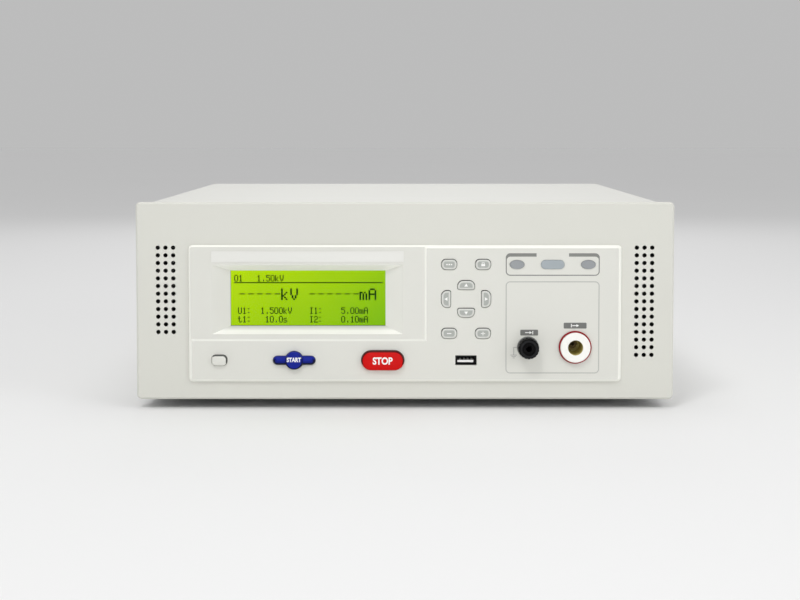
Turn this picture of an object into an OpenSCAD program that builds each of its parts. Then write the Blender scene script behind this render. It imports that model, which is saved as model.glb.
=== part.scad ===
// Bench hipot tester in a sheet steel case, with a moulded control fascia.
// Millimetres, +Z up, front towards -Y. The origin lies on the surface that
// the feet stand on, under the middle of the overall box.

/* [Fascia] */
// Width of the display zone at the left
display_zone_w = 159; // [150:0.5:180]
// Width of the keypad zone in the middle
keypad_zone_w = 52.8; // [50:0.2:65]
// Width of the output zone at the right
output_zone_w = 77.4; // [75:0.2:95]
// Height of the control strip along the bottom
control_strip_h = 27.4; // [26:0.2:36]
// Height of the display zone above the control strip
display_zone_h = 64.3; // [63:0.1:80]
// How far the keypad and the strip stand out from the panel
fascia_t = 3.2; // [2.8:0.1:5]
// How far the display zone lies below the keypad and the strip
display_step = 0.8; // [0.4:0.1:1.2]
// Width of the slope where the display zone steps down
step_slope_w = 1.3; // [0.6:0.1:2.5]
// Width of the bevel round the fascia
fascia_bevel = 2; // [1:0.1:2.4]
// Corner radius of the fascia
fascia_corner_r = 2.6; // [2.5:0.1:5]
// Overlap of the fascia on the panel round its opening
fascia_lap = 5; // [4:0.2:6]
// Wall thickness behind the fascia
fascia_wall = 2; // [1.5:0.1:2.5]

/* [Front panel] */
// Width of the panel
panel_w = 360; // [355:1:390]
// Height of the panel
panel_h = 132.5; // [128:0.5:150]
// Height of panel below the fascia
panel_low_margin = 12.2; // [9:0.2:20]
// Thickness of the panel
panel_t = 4; // [3:0.5:5]
// Bevel round the front edge of the panel
panel_bevel = 1.2; // [0.5:0.1:1.8]
// Corner radius of the panel
panel_corner_r = 3; // [2:0.5:8]
// Diameter of a vent hole
vent_d = 2.9; // [2:0.1:4]
// Distance between vent holes
vent_pitch = 5.15; // [4.6:0.05:6]
// Columns of vent holes on each side
vent_columns = 3; // [2:1:3]
// Rows of vent holes at the left
vent_rows_left = 12; // [4:1:15]
// Rows of vent holes at the right
vent_rows_right = 15; // [4:1:15]
// From the side of the fascia to the first column of vents
vent_gap = 10.4; // [6:0.2:12]
// From the top of the fascia down to the first row of vents
vent_drop = 1.8; // [0:0.2:8]

/* [Case] */
// Depth of the case behind the panel
case_depth = 400; // [370:5:500]
// Thickness of the tray and cover sheet
sheet_t = 1.2; // [0.8:0.1:2]
// Thickness of the rear panel
rear_t = 1.5; // [1:0.1:3]
// How far the sides of the cover lie inside the panel edges
cover_inset = 5; // [2:0.5:8]
// How far the cover top and the tray lie inside the panel edges
cover_drop = 1.25; // [0.5:0.25:4]
// Outside bend radius of the cover
cover_bend_r = 2.5; // [2.2:0.1:6]
// Height of the side walls of the tray
tray_side_h = 32; // [24:1:50]
// Height of the front lip of the tray
tray_lip_h = 12; // [8:0.5:14]
// Clearance between fitted parts
fit_gap = 0.3; // [0.2:0.05:0.4]
// Diameter of a foot
foot_d = 22; // [16:1:30]
// Height of a foot
foot_h = 7.5; // [6:0.5:14]
// From the side of the case in to the middle of a foot
foot_inset = 32; // [20:1:60]
// From the ends of the case in to the middle of a foot
foot_setback = 52; // [40:1:90]

/* [Display] */
// Width of the display opening
window_w = 104; // [96:0.5:110]
// Height of the display opening
window_h = 37.2; // [32:0.2:40]
// Middle of the display above the control strip
window_rise = 28.3; // [27:0.1:34]
// Depth of the sloped surround
surround_depth = 5.9; // [4:0.1:8]
// Width of the slopes at the sides
surround_side = 11.8; // [6:0.2:14]
// Height of the upper slope
surround_top = 4; // [2:0.2:6]
// Height of the lower slope
surround_low = 5; // [2:0.2:8]
// Thickness of the clear window
window_t = 1.5; // [1:0.1:3]
// Edge of the display frame beyond the opening
lcd_border = 5; // [4:0.2:6]
// Depth of the display frame
lcd_depth = 6; // [5:0.2:9]
// Width of the bare name strip
name_strip_w = 128.5; // [90:0.5:140]
// Height of the bare name strip
name_strip_h = 7.4; // [5:0.2:9]
// Middle of the name strip below the top of the fascia
name_strip_drop = 7.7; // [6:0.1:10]

/* [Buttons] */
// Middle of the button row above the bottom of the fascia
button_rise = 14.6; // [14:0.1:18]
// Power button from the left side of the fascia
power_x = 20.4; // [19:0.2:28]
// Width of the power button opening
power_w = 10.8; // [9:0.2:14]
// Height of the power button opening
power_h = 7.7; // [7:0.1:10]
// Start button from the left side of the fascia
start_x = 70.5; // [62:0.5:80]
// Diameter of the start button
start_d = 12; // [10:0.2:15]
// Length of the bar across the start button
start_bar_w = 28; // [20:0.5:32]
// Height of the bar across the start button
start_bar_h = 5.6; // [4.5:0.1:8]
// Stop button from the left side of the fascia
stop_x = 129.7; // [118:0.5:136]
// Width of the stop button
stop_w = 28.4; // [22:0.2:34]
// Height of the stop button
stop_h = 13; // [9:0.2:13.8]
// How far the start and stop buttons stand out
button_proud = 3.6; // [2:0.1:5]
// How far the power button stands out
power_proud = 2.4; // [2:0.1:5]
// Travel of the start and stop buttons
button_travel = 1.5; // [0.8:0.1:1.8]
// Travel of the power button
power_travel = 2; // [1:0.1:2]

/* [Keys] */
// Middle of the keypad below the top of the fascia
keypad_drop = 35.9; // [34:0.1:40]
// Width of a corner key opening
corner_key_w = 10.8; // [9:0.2:12]
// Height of a corner key opening
corner_key_h = 7.6; // [6.6:0.1:9]
// Corner keys from the middle of the keypad, across
corner_key_x = 11.3; // [9.5:0.1:13]
// Corner keys from the middle of the keypad, up and down
corner_key_y = 23.1; // [21.5:0.1:25]
// Long side of an arrow key opening
arrow_key_w = 12; // [10:0.2:13]
// Short side of an arrow key opening
arrow_key_h = 6.8; // [6:0.1:7.4]
// Up and down keys from the middle of the keypad
arrow_key_y = 9.3; // [9:0.1:11]
// Left and right keys from the middle of the keypad
arrow_key_x = 13.4; // [12:0.1:16]
// How far a key stands out
key_proud = 0.9; // [0.8:0.1:2]
// Gap round a key or button in its opening
key_gap = 0.35; // [0.3:0.05:0.5]
// Travel of a key
key_travel = 0.8; // [0.4:0.1:0.8]
// Space between the fascia and the key board
board_space = 8; // [7.5:0.1:10]
// Thickness of the circuit boards
board_t = 1.6; // [1:0.1:2]
// Diameter of a key stem
stem_d = 3.4; // [2.6:0.1:3.8]
// Radial running clearance of a key stem
stem_gap = 0.1; // [0.05:0.05:0.2]

/* [Indicators and port] */
// Width of the indicator and output frames
frame_w = 62.7; // [60:0.1:66]
// Height of the indicator frame
lamp_frame_h = 15.1; // [12:0.1:16]
// Top of the indicator frame below the top of the fascia
lamp_frame_drop = 5.3; // [4:0.1:7]
// Opening in the top of the lamp frame
lamp_frame_gap = 21.6; // [16:0.2:30]
// Height of the bar on each side of that opening
lamp_bar_h = 2.3; // [1.5:0.1:3]
// Distance between neighbouring lamps
lamp_pitch = 23.75; // [20:0.25:24]
// Width of an outer lamp
lamp_w = 10; // [7:0.2:12]
// Width of the middle lamp
lamp_mid_w = 15.9; // [10:0.1:18]
// Height of a lamp
lamp_h = 6.2; // [5:0.1:8]
// Height of the output frame
output_frame_h = 61.9; // [58:0.1:63]
// Output frame above the bottom of the fascia
output_frame_rise = 5.7; // [4:0.1:7]
// Width of the frame lines
frame_line = 0.7; // [0.4:0.1:1.2]
// Width of the port opening
port_w = 14.3; // [14:0.1:16]
// Height of the port opening
port_h = 6.6; // [6.4:0.1:8]

/* [Terminals] */
// Terminals above the bottom of the fascia
terminal_rise = 23.4; // [21:0.1:26]
// Middle of the terminals left of the middle of their frame
terminal_shift = 0.6; // [0:0.1:2]
// Distance between the two terminals
terminal_pitch = 31.5; // [29:0.5:34]
// Outside diameter of the output ring
output_ring_d = 22; // [21:0.2:25]
// Diameter of the white output insulator
output_face_d = 20; // [18:0.2:20.6]
// Diameter of the output socket
output_bore_d = 10; // [8:0.2:11]
// Depth of the output socket behind the panel face
output_depth = 16; // [12:0.5:24]
// Diameter of the return terminal cap
cap_d = 13.6; // [12:0.2:17]
// Length of the return terminal cap
cap_l = 8.4; // [7:0.2:14]
// Diameter of the return stud
stud_d = 6; // [5.6:0.1:7]
// Diameter of the test lead socket in the stud
lead_bore_d = 4.1; // [3.9:0.05:4.2]
// Radial running clearance of the cap on its stud
cap_gap = 0.08; // [0.04:0.02:0.1]

/* [Rear] */
// Side of the fan frame
fan_size = 80; // [70:1:92]
// Depth of the fan frame
fan_depth = 25; // [20:1:32]
// From the left side of the case to the middle of the fan
fan_inset = 75; // [60:1:95]
// From the right side of the case to the middle of the inlet
inlet_inset = 47; // [40:1:75]
// Serial port from the middle of the case
serial_x = 66; // [55:1:80]
// Handler port from the middle of the case
handler_x = 2; // [-15:1:10]
// Width of the serial port over its flange
serial_w = 31; // [28:0.5:34]
// Width of the handler port over its flange
handler_w = 51; // [44:0.5:54]
// Rear fittings above the tray
rear_fit_rise = 45; // [38:1:60]
// Travel of the fuse drawer
drawer_travel = 18; // [10:1:20]

/* [Inside] */
// Diameter of the mains transformer
toroid_d = 95; // [80:1:105]
// Height of the mains transformer
toroid_h = 42; // [30:1:55]
// Width of the high voltage core
core_w = 84; // [70:1:90]
// Height of the high voltage core
core_h = 70; // [60:1:84]
// Stack of the high voltage core
core_stack = 46; // [36:1:56]
// Width of the control board
control_board_w = 150; // [120:1:160]
// Depth of the control board
control_board_l = 100; // [80:1:110]
// Height of the board standoffs
standoff_h = 10; // [7:0.5:16]
// Width of the heat sink
sink_w = 44; // [36:1:50]
// Length of the heat sink
sink_l = 110; // [90:1:120]
// Height of the heat sink
sink_h = 58; // [40:1:70]
// Number of heat sink fins
sink_fins = 9; // [5:1:11]

/* [Hidden] */
$fn = 48;
eps = 0.01;
reach = 2 * panel_w;

// Overall sizes that follow from the zones and the panel
fascia_w = display_zone_w + keypad_zone_w + output_zone_w;
fascia_h = control_strip_h + display_zone_h;
body_w = panel_w - 2 * cover_inset;
body_h = panel_h - 2 * cover_drop;
body_z = foot_h;
panel_z = foot_h - cover_drop;
tray_w = body_w - 2 * (sheet_t + fit_gap);
tray_top = body_z + sheet_t;
fan_x = -body_w / 2 + fan_inset;
inlet_x = body_w / 2 - inlet_inset;

// Depths out from the panel face
post_flange_t = 1.6;
collar_t = 1;
front_proud = fascia_t + post_flange_t + collar_t + cap_l;
rear_proud = 6;
panel_y = -(panel_t + case_depth) / 2 + (front_proud - rear_proud) / 2;
case_y = panel_y + panel_t;
rear_y = case_y + case_depth;

// Places on the panel: u across from its middle, v up from its lower edge
fascia_v = panel_low_margin;
fascia_top = fascia_v + fascia_h;
fascia_mid = fascia_v + fascia_h / 2;
fascia_left = -fascia_w / 2;
split_u = fascia_left + display_zone_w;
split_v = fascia_v + control_strip_h;
display_d = fascia_t - display_step;
window_u = fascia_left + display_zone_w / 2;
window_v = split_v + window_rise;
window_d = display_d - surround_depth;
button_v = fascia_v + button_rise;
power_u = fascia_left + power_x;
start_u = fascia_left + start_x;
stop_u = fascia_left + stop_x;
keypad_u = split_u + keypad_zone_w / 2;
keypad_v = fascia_top - keypad_drop;
frame_u = split_u + keypad_zone_w + frame_w / 2;
lamp_v = fascia_top - lamp_frame_drop - lamp_frame_h / 2;
terminal_v = fascia_v + terminal_rise;
return_u = frame_u - terminal_shift - terminal_pitch / 2;
output_u = frame_u - terminal_shift + terminal_pitch / 2;
opening_w = fascia_w - 2 * fascia_lap;
opening_h = fascia_h - 2 * fascia_lap;
rim_w = opening_w - 2 * fit_gap;
rim_h = opening_h - 2 * fit_gap;
rim_depth = panel_t + 3;

// Keypad stack: flange under each key, then the switch, then the board
flange_t = 1;
flange_lip = 0.8;
switch_h = 4;
switch_size = 6;
led_d = 4.8;
switch_d = -board_space + switch_h;
stem_in = 0.5;
board_d = -board_space - board_t;
power_body_d = max(board_space, power_travel + 4) + 2;
power_rod_d = 5;
lcd_d = window_d - window_t;
lcd_w = window_w + 2 * lcd_border;
lcd_h = window_h + 2 * lcd_border;
lcd_skin = 0.8;
lcd_pillar_u = lcd_w / 2 + 3.2;
lcd_pillar_v = lcd_h / 2 - 4.5;
lcd_board_d = lcd_d - lcd_depth;

// Keypad board outline
strip_v0 = button_v - 6.6;
strip_v1 = button_v + 8.6;
strip_u0 = start_u - 12;
column_u0 = keypad_u - keypad_zone_w / 2 + 4;
column_u1 = keypad_u + keypad_zone_w / 2 - 3;
arm_v0 = lamp_v - 6.5;
arm_v1 = lamp_v + 5.5;
arm_u1 = frame_u + lamp_pitch + 7;

// Key centres on the panel, as u and v
key_places = [
    [keypad_u - corner_key_x, keypad_v + corner_key_y],
    [keypad_u + corner_key_x, keypad_v + corner_key_y],
    [keypad_u - corner_key_x, keypad_v - corner_key_y],
    [keypad_u + corner_key_x, keypad_v - corner_key_y],
    [keypad_u, keypad_v + arrow_key_y],
    [keypad_u, keypad_v - arrow_key_y],
    [keypad_u - arrow_key_x, keypad_v],
    [keypad_u + arrow_key_x, keypad_v]
];

// Frame lines
output_frame_v = fascia_v + output_frame_rise + output_frame_h / 2;
frame_r = 3;
frame_groove = 0.3;

// Return terminal and output depths
return_base_d = fascia_t + post_flange_t;
return_cap_d = return_base_d + collar_t;
flute_d = 1.6;
flute_depth = 0.25;
cap_recess = 2.4;
stud_inset = 1.4;
output_ring_t = 1.2;
output_flange_t = 2.6;
output_body_d = 15;
output_back = output_depth + 8;
output_pin_d = 6;
output_pin_back = output_back + 6;

// Inside places
core_leg = core_w / 5;
core_setback = 150;
core_y = rear_y - core_setback;
core_base_t = 2;
core_foot = 12;
core_side_gap = 4;
core_x = tray_w / 2 - sheet_t - core_side_gap - core_foot - core_w / 2;
core_z = tray_top + core_base_t;
window_in_w = (core_w - 3 * core_leg) / 2;
winding_over = 12;
toroid_shift = 5;
toroid_gap = 32;
toroid_hole_d = 30;
toroid_edge_r = 4;
clamp_bolt_d = 8;
clamp_lap = 16;
clamp_t = 2;
clamp_nut_h = 7;
toroid_x = fan_x + toroid_shift;
toroid_y = rear_y - fan_depth - toroid_d / 2 - toroid_gap;
sink_gap = 16;
sink_setback = 110;
sink_base_t = 8;
fin_t = 2;
sink_x = toroid_x + toroid_d / 2 + sink_w / 2 + sink_gap;
sink_y = rear_y - sink_setback - sink_l / 2;
control_inset = 42;
control_setback = 48;
control_x = -body_w / 2 + control_board_w / 2 + control_inset;
control_y = case_y + control_setback + control_board_l / 2;
control_z = tray_top + standoff_h;
hv_board_w = 54;
hv_board_l = 80;
hv_board_gap = 13.3;
hv_board_setback = 58;
hv_board_x = control_x + control_board_w / 2 + hv_board_gap + hv_board_w / 2;
hv_board_y = case_y + hv_board_setback + hv_board_l / 2;
standoff_d = 6;
board_edge = 5;
lead_d = 5;

// Parts on the two inner boards
chip_w = 22;
chip_t = 2.4;
chip_step = 36;
can_d = 13;
can_h = 22;
can_step = 20;
relay_w = 18;
relay_l = 14;
relay_h = 15;
plug_w = 34;
plug_l = 8;
plug_h = 9;
tube_d = 8;
tube_l = 46;
tube_step = 14;

// Rear places
fan_z = body_z + body_h / 2;
fan_hole = fan_size - 5;
fan_pitch = fan_size - 8.5;
fan_hub_d = 34;
fan_shaft_d = 3;
fan_y = rear_y - rear_t - fan_depth;
fit_z = tray_top + rear_fit_rise;
guard_wire = 2;
inlet_w = 27;
inlet_h = 31;
inlet_flange_w = 50;
inlet_rim = 5;
inlet_screw_x = 20;
inlet_screw_l = 9;
inlet_depth = 26;
inlet_flange_t = 3;
socket_w = 24;
socket_h = 16.4;
socket_z = 5.5;
socket_depth = 20;
drawer_w = 21;
drawer_h = 7;
drawer_z = -10;
drawer_l = 24;
blade_w = 2;
blade_h = 4;
blade_places = [[-7, 3], [7, 3], [0, 8]];
slant_flange = 11;
slant_h = 10.4;
slant_gap = 0.4;
earth_d = 5;
earth_in = 12;
earth_x = inlet_x - 34;
earth_z = tray_top + 26;

// Fasteners
screw_d = 3;
screw_gap = 0.15;
screw_head_d = 5.6;
screw_head_h = 2;
board_screw_d = 2;
foot_screw_l = 7;
board_screw_l = 5;
board_screw_head_d = 3.8;
board_screw_head_h = 1.4;
cover_screw_z = body_z + tray_side_h / 2;
cover_screw_inset = 40;
cover_screw_ys = [case_y + cover_screw_inset, case_y + case_depth / 2, rear_y - cover_screw_inset];

// Moves children to the panel, with x as u, y as v and z out of the face
module on_panel(u = 0, v = 0, d = 0) {
    translate([u, panel_y - d, panel_z + v])
        rotate([90, 0, 0])
            children();
}

// Moves children to the rear panel, with y up and z out of the face
module on_rear(x = 0, z = 0, d = 0) {
    translate([x, rear_y + d, z])
        rotate([90, 0, 180])
            children();
}

// Rectangle with true round corners
module rounded_rect(w, h, r) {
    square([w - 2 * r, h], center = true);
    square([w, h - 2 * r], center = true);
    for (x = [-1, 1], y = [-1, 1])
        translate([x * (w / 2 - r), y * (h / 2 - r)])
            circle(r);
}

// Bar with half round ends
module stadium(w, h) {
    square([w - h, h], center = true);
    for (x = [-1, 1])
        translate([x * (w - h) / 2, 0])
            circle(h / 2);
}

// Oval of an indicator lamp
module oval(w, h) {
    polygon([for (a = [0 : 10 : 350]) [w / 2 * cos(a), h / 2 * sin(a)]]);
}

// Quarter of a round corner, from angle a on
function corner_arc(x, y, r, a) = [
    for (i = [0 : 10 : 90]) [x + r * cos(a + i), y + r * sin(a + i)]
];

// Arrow key outline, domed towards +y and flat towards -y
module domed(w, h) {
    high = h * 0.6;
    low = h * 0.24;
    polygon(concat(
        corner_arc(w / 2 - high, h / 2 - high, high, 0),
        corner_arc(-w / 2 + high, h / 2 - high, high, 90),
        corner_arc(-w / 2 + low, -h / 2 + low, low, 180),
        corner_arc(w / 2 - low, -h / 2 + low, low, 270)));
}

// Plate with round corners and a bevel round its upper edge
module bevelled_plate(w, h, r, t, c) {
    linear_extrude(t - c)
        rounded_rect(w, h, r);
    translate([0, 0, t - c - eps]) {
        rotate([90, 0, 90])
            linear_extrude(w - 2 * r, center = true)
                polygon([[-h / 2, 0], [h / 2, 0], [h / 2, eps], [h / 2 - c, c + eps],
                    [-h / 2 + c, c + eps], [-h / 2, eps]]);
        rotate([90, 0, 0])
            linear_extrude(h - 2 * r, center = true)
                polygon([[-w / 2, 0], [w / 2, 0], [w / 2, eps], [w / 2 - c, c + eps],
                    [-w / 2 + c, c + eps], [-w / 2, eps]]);
        for (x = [-1, 1], y = [-1, 1])
            translate([x * (w / 2 - r), y * (h / 2 - r), eps])
                cylinder(h = c, r1 = r, r2 = r - c);
    }
}

// Cap of a key: a straight wall with a bevel round its top
module bevelled_cap(t, c) {
    hull() {
        linear_extrude(t - c)
            children();
        linear_extrude(t)
            offset(delta = -c)
                children();
    }
}

// Pan head screw, with the underside of its head at z = 0
module screw(l, d = screw_d, head_d = screw_head_d, head_h = screw_head_h) {
    cylinder(d = head_d, h = head_h);
    translate([0, 0, -l])
        cylinder(d = d, h = l + head_h / 2);
}

// Hole for such a screw, through both ways
module screw_hole(d = screw_d) {
    cylinder(d = d + 2 * screw_gap, h = 40, center = true);
}

// Tapered block: a trapezoid across u and another up v, met
module taper(w0, w1, v0, v1, v2, v3, d0, d1, over, under) {
    rise = d1 - d0;
    su = (w1 - w0) / 2 / rise;
    sl = (v0 - v2) / rise;
    st = (v3 - v1) / rise;
    intersection() {
        rotate([-90, 0, 0])
            linear_extrude(reach, center = true)
                polygon([[-w0 / 2, -d0 + under], [w0 / 2, -d0 + under], [w0 / 2, -d0],
                    [w1 / 2 + su * over, -d1 - over], [-w1 / 2 - su * over, -d1 - over],
                    [-w0 / 2, -d0]]);
        rotate([90, 0, 90])
            linear_extrude(reach, center = true)
                polygon([[v0, d0 - under], [v1, d0 - under], [v1, d0],
                    [v3 + st * over, d1 + over], [v2 - sl * over, d1 + over], [v0, d0]]);
    }
}

// Sloped surround of the display, grown outward by a wall
module surround(wall, over, under) {
    translate([window_u, window_v, 0])
        taper(window_w + 2 * wall, window_w + 2 * surround_side + 2 * wall,
            -window_h / 2 - wall, window_h / 2 + wall,
            -window_h / 2 - surround_low - wall, window_h / 2 + surround_top + wall,
            window_d, display_d, over, under);
}

// Space cut away above the display zone, with sloped sides
module display_space() {
    rise = display_step + 1;
    run = step_slope_w / display_step * rise;
    far_u = fascia_left - 5;
    far_v = fascia_top + 5;
    intersection() {
        rotate([-90, 0, 0])
            linear_extrude(reach, center = true)
                polygon([[far_u, -display_d], [split_u - step_slope_w, -display_d],
                    [split_u - step_slope_w + run, -display_d - rise],
                    [far_u, -display_d - rise]]);
        rotate([90, 0, 90])
            linear_extrude(reach, center = true)
                polygon([[far_v, display_d], [split_v + step_slope_w, display_d],
                    [split_v + step_slope_w - run, display_d + rise],
                    [far_v, display_d + rise]]);
    }
}

// Outline of an arrow key: 0 up, 1 down, 2 left, 3 right
module arrow_outline(way, less) {
    turn = [0, 180, 90, -90];
    rotate(turn[way])
        domed(arrow_key_w - 2 * less, arrow_key_h - 2 * less);
}

// Outline of a corner key
module corner_outline(less) {
    rounded_rect(corner_key_w - 2 * less, corner_key_h - 2 * less, corner_key_h * 0.42 - less);
}

// Outline of the power button
module power_outline(less) {
    rounded_rect(power_w - 2 * less, power_h - 2 * less, power_h * 0.4 - less);
}

// Openings for the keys, buttons, lamps, port and terminals
module fascia_openings() {
    translate([power_u, button_v])
        power_outline(0);
    translate([start_u, button_v]) {
        circle(d = start_d + 2 * key_gap);
        stadium(start_bar_w + 2 * key_gap, start_bar_h + 2 * key_gap);
    }
    translate([stop_u, button_v])
        stadium(stop_w + 2 * key_gap, stop_h + 2 * key_gap);
    for (i = [0 : 3])
        translate(key_places[i])
            corner_outline(0);
    for (i = [0 : 3])
        translate(key_places[4 + i])
            arrow_outline(i, 0);
    for (i = [-1, 1])
        translate([frame_u + i * lamp_pitch, lamp_v])
            oval(lamp_w, lamp_h);
    translate([frame_u, lamp_v])
        stadium(lamp_mid_w, lamp_h);
    translate([keypad_u, button_v])
        square([port_w, port_h], center = true);
    translate([return_u, terminal_v])
        circle(d = stud_d + 2 + 2 * fit_gap);
    translate([output_u, terminal_v])
        circle(d = output_body_d + 2 * fit_gap);
}

// Where pillars behind the fascia hold the boards and the switch
lcd_pillars = [
    for (x = [-1, 1], y = [-1, 1])
        [window_u + x * lcd_pillar_u, window_v + y * lcd_pillar_v]
];
board_pillars = [
    [start_u - 8.5, button_v + 5.8],
    [(start_u + stop_u) / 2, button_v],
    [keypad_u - 17, button_v + 3],
    [keypad_u + 17, button_v + 3],
    [keypad_u, keypad_v + corner_key_y],
    [frame_u + lamp_pitch / 2, arm_v0 + 2.6]
];
power_pillars = [[power_u - 9.3, button_v], [power_u + 9.3, button_v]];

module fascia_clips() {
    hook = fit_gap + 0.9;
    for (x = [-0.36, 0, 0.36], y = [0, 180])
        translate([x * rim_w, fascia_mid, 0])
            rotate([0, 0, y])
                rotate([90, 0, 90])
                    linear_extrude(8, center = true)
                        polygon([[rim_h / 2 - 0.5, -panel_t - fit_gap],
                            [rim_h / 2 + hook, -panel_t - fit_gap],
                            [rim_h / 2, -rim_depth], [rim_h / 2 - 0.5, -rim_depth]]);
}

module fascia() {
    color([0.86, 0.86, 0.83])
        on_panel()
            difference() {
                union() {
                    translate([0, fascia_mid, 0])
                        bevelled_plate(fascia_w, fascia_h, fascia_corner_r, fascia_t, fascia_bevel);
                    surround(fascia_wall, -1, 0);
                    translate([0, fascia_mid, -rim_depth])
                        linear_extrude(rim_depth + 0.5)
                            difference() {
                                rounded_rect(rim_w, rim_h, 2);
                                rounded_rect(rim_w - 2 * fascia_wall, rim_h - 2 * fascia_wall, 1);
                            }
                    fascia_clips();
                    for (p = lcd_pillars)
                        translate([p[0], p[1], lcd_board_d])
                            cylinder(d = 5, h = -lcd_board_d + 0.5);
                    for (p = board_pillars)
                        translate([p[0], p[1], -board_space])
                            cylinder(d = 4.4, h = board_space + 0.5);
                    for (p = power_pillars)
                        translate([p[0], p[1], -power_body_d + 2])
                            cylinder(d = 5, h = power_body_d - 1.5);
                }
                display_space();
                surround(0, 1, 1);
                translate([window_u, fascia_top - name_strip_drop, display_d - 0.4])
                    linear_extrude(2)
                        square([name_strip_w + 0.2, name_strip_h + 0.2], center = true);
                translate([0, 0, -1.5])
                    linear_extrude(fascia_t + 3)
                        fascia_openings();
                for (p = concat(lcd_pillars, board_pillars, power_pillars))
                    translate([p[0], p[1], -30])
                        cylinder(d = board_screw_d + 2 * screw_gap, h = 29);
                translate([frame_u, lamp_v, fascia_t - frame_groove])
                    linear_extrude(1)
                        lamp_frame_outline();
                translate([frame_u, output_frame_v, fascia_t - frame_groove])
                    linear_extrude(1)
                        frame_outline(frame_w, output_frame_h);
            }
}

// Line round a group of fittings
module frame_outline(w, h) {
    difference() {
        rounded_rect(w, h, frame_r);
        rounded_rect(w - 2 * frame_line, h - 2 * frame_line, frame_r - frame_line);
    }
}

// Line round the lamps, open at its top between two bars
module lamp_frame_outline() {
    inner_h = lamp_frame_h - frame_line - lamp_bar_h;
    difference() {
        rounded_rect(frame_w, lamp_frame_h, frame_r);
        translate([0, (frame_line - lamp_bar_h) / 2])
            rounded_rect(frame_w - 2 * frame_line, inner_h, frame_r - frame_line);
        translate([0, lamp_frame_h / 2])
            square([lamp_frame_gap, 2 * lamp_bar_h + 1], center = true);
    }
}

module name_strip() {
    color([0.9, 0.9, 0.88])
        on_panel(window_u, fascia_top - name_strip_drop, display_d - 0.4)
            linear_extrude(0.5)
                square([name_strip_w, name_strip_h], center = true);
}

module display_window() {
    color([0.8, 0.9, 0.85, 0.3])
        on_panel(window_u, window_v, lcd_d)
            linear_extrude(window_t)
                square([lcd_w - 2, lcd_h - 2], center = true);
}

module lcd_frame() {
    color([0.2, 0.2, 0.22])
        on_panel(window_u, window_v, lcd_board_d)
            difference() {
                linear_extrude(lcd_depth)
                    square([lcd_w, lcd_h], center = true);
                translate([0, 0, -1])
                    linear_extrude(lcd_depth - lcd_skin + 1)
                        square([lcd_w - 2 * lcd_skin, lcd_h - 2 * lcd_skin], center = true);
                linear_extrude(lcd_depth + 1)
                    square([window_w, window_h], center = true);
            }
}

module lcd_glass() {
    color([0.6, 0.8, 0.15])
        on_panel(window_u, window_v, lcd_d - lcd_skin - 2)
            linear_extrude(2)
                square([lcd_w - 2 * lcd_skin - 0.4, lcd_h - 2 * lcd_skin - 0.4], center = true);
}

module lcd_backlight() {
    color([0.95, 0.95, 0.9])
        on_panel(window_u, window_v, lcd_board_d)
            linear_extrude(lcd_depth - lcd_skin - 2)
                square([lcd_w - 2 * lcd_skin - 0.4, lcd_h - 2 * lcd_skin - 0.4], center = true);
}

module lcd_board() {
    color([0.05, 0.35, 0.15])
        on_panel(0, 0, lcd_board_d - board_t)
            difference() {
                translate([window_u, window_v])
                    linear_extrude(board_t)
                        square([2 * lcd_pillar_u + 7, lcd_h + 6], center = true);
                for (p = lcd_pillars)
                    translate([p[0], p[1], 0])
                        screw_hole(board_screw_d);
            }
}

module key_board() {
    color([0.05, 0.35, 0.15])
        on_panel(0, 0, board_d)
            difference() {
                linear_extrude(board_t)
                    polygon([[strip_u0, strip_v0], [column_u1, strip_v0], [column_u1, arm_v0],
                        [arm_u1, arm_v0], [arm_u1, arm_v1], [column_u0, arm_v1],
                        [column_u0, strip_v1], [strip_u0, strip_v1]]);
                for (p = board_pillars)
                    translate([p[0], p[1], 0])
                        screw_hole(board_screw_d);
            }
}

// One push switch on the key board, open at the front for a stem
module push_switch() {
    difference() {
        translate([-switch_size / 2, -switch_size / 2, 0])
            cube([switch_size, switch_size, switch_h]);
        translate([0, 0, 1])
            cylinder(d = stem_d + 2 * stem_gap, h = switch_h);
    }
}

module key_switches() {
    color([0.12, 0.12, 0.13])
        on_panel(0, 0, -board_space) {
            for (p = key_places)
                translate([p[0], p[1], 0])
                    push_switch();
            for (u = [start_u, stop_u])
                translate([u, button_v, 0])
                    push_switch();
        }
}

module power_switch() {
    color([0.1, 0.1, 0.11])
        on_panel(power_u, button_v, -power_body_d)
            difference() {
                union() {
                    linear_extrude(2)
                        square([23.6, 9], center = true);
                    translate([0, 0, -22])
                        linear_extrude(22.5)
                            square([13, 13], center = true);
                }
                for (x = [-9.3, 9.3])
                    translate([x, 0, 0])
                        screw_hole(board_screw_d);
                translate([0, 0, -12])
                    cylinder(d = power_rod_d + 2 * stem_gap, h = 20);
            }
}

// Screws into pillars from behind, with their heads at a depth
module pillar_screws(places, d) {
    for (p = places)
        translate([p[0], p[1], d])
            mirror([0, 0, 1])
                screw(board_screw_l, board_screw_d, board_screw_head_d, board_screw_head_h);
}

module board_screws() {
    color([0.7, 0.7, 0.72])
        on_panel() {
            pillar_screws(lcd_pillars, lcd_board_d - board_t);
            pillar_screws(board_pillars, board_d);
            pillar_screws(power_pillars, -power_body_d);
        }
}

module lamp_lenses() {
    color([0.63, 0.66, 0.68])
        on_panel(frame_u, lamp_v, -1) {
            for (i = [-1, 1])
                translate([i * lamp_pitch, 0, 0]) {
                    linear_extrude(fascia_t + 1.5)
                        oval(lamp_w - 0.3, lamp_h - 0.3);
                    linear_extrude(0.9)
                        oval(lamp_w + 2, lamp_h + 2);
                }
            linear_extrude(fascia_t + 1.5)
                stadium(lamp_mid_w - 0.3, lamp_h - 0.3);
            linear_extrude(0.9)
                stadium(lamp_mid_w + 2, lamp_h + 2);
        }
}

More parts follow.
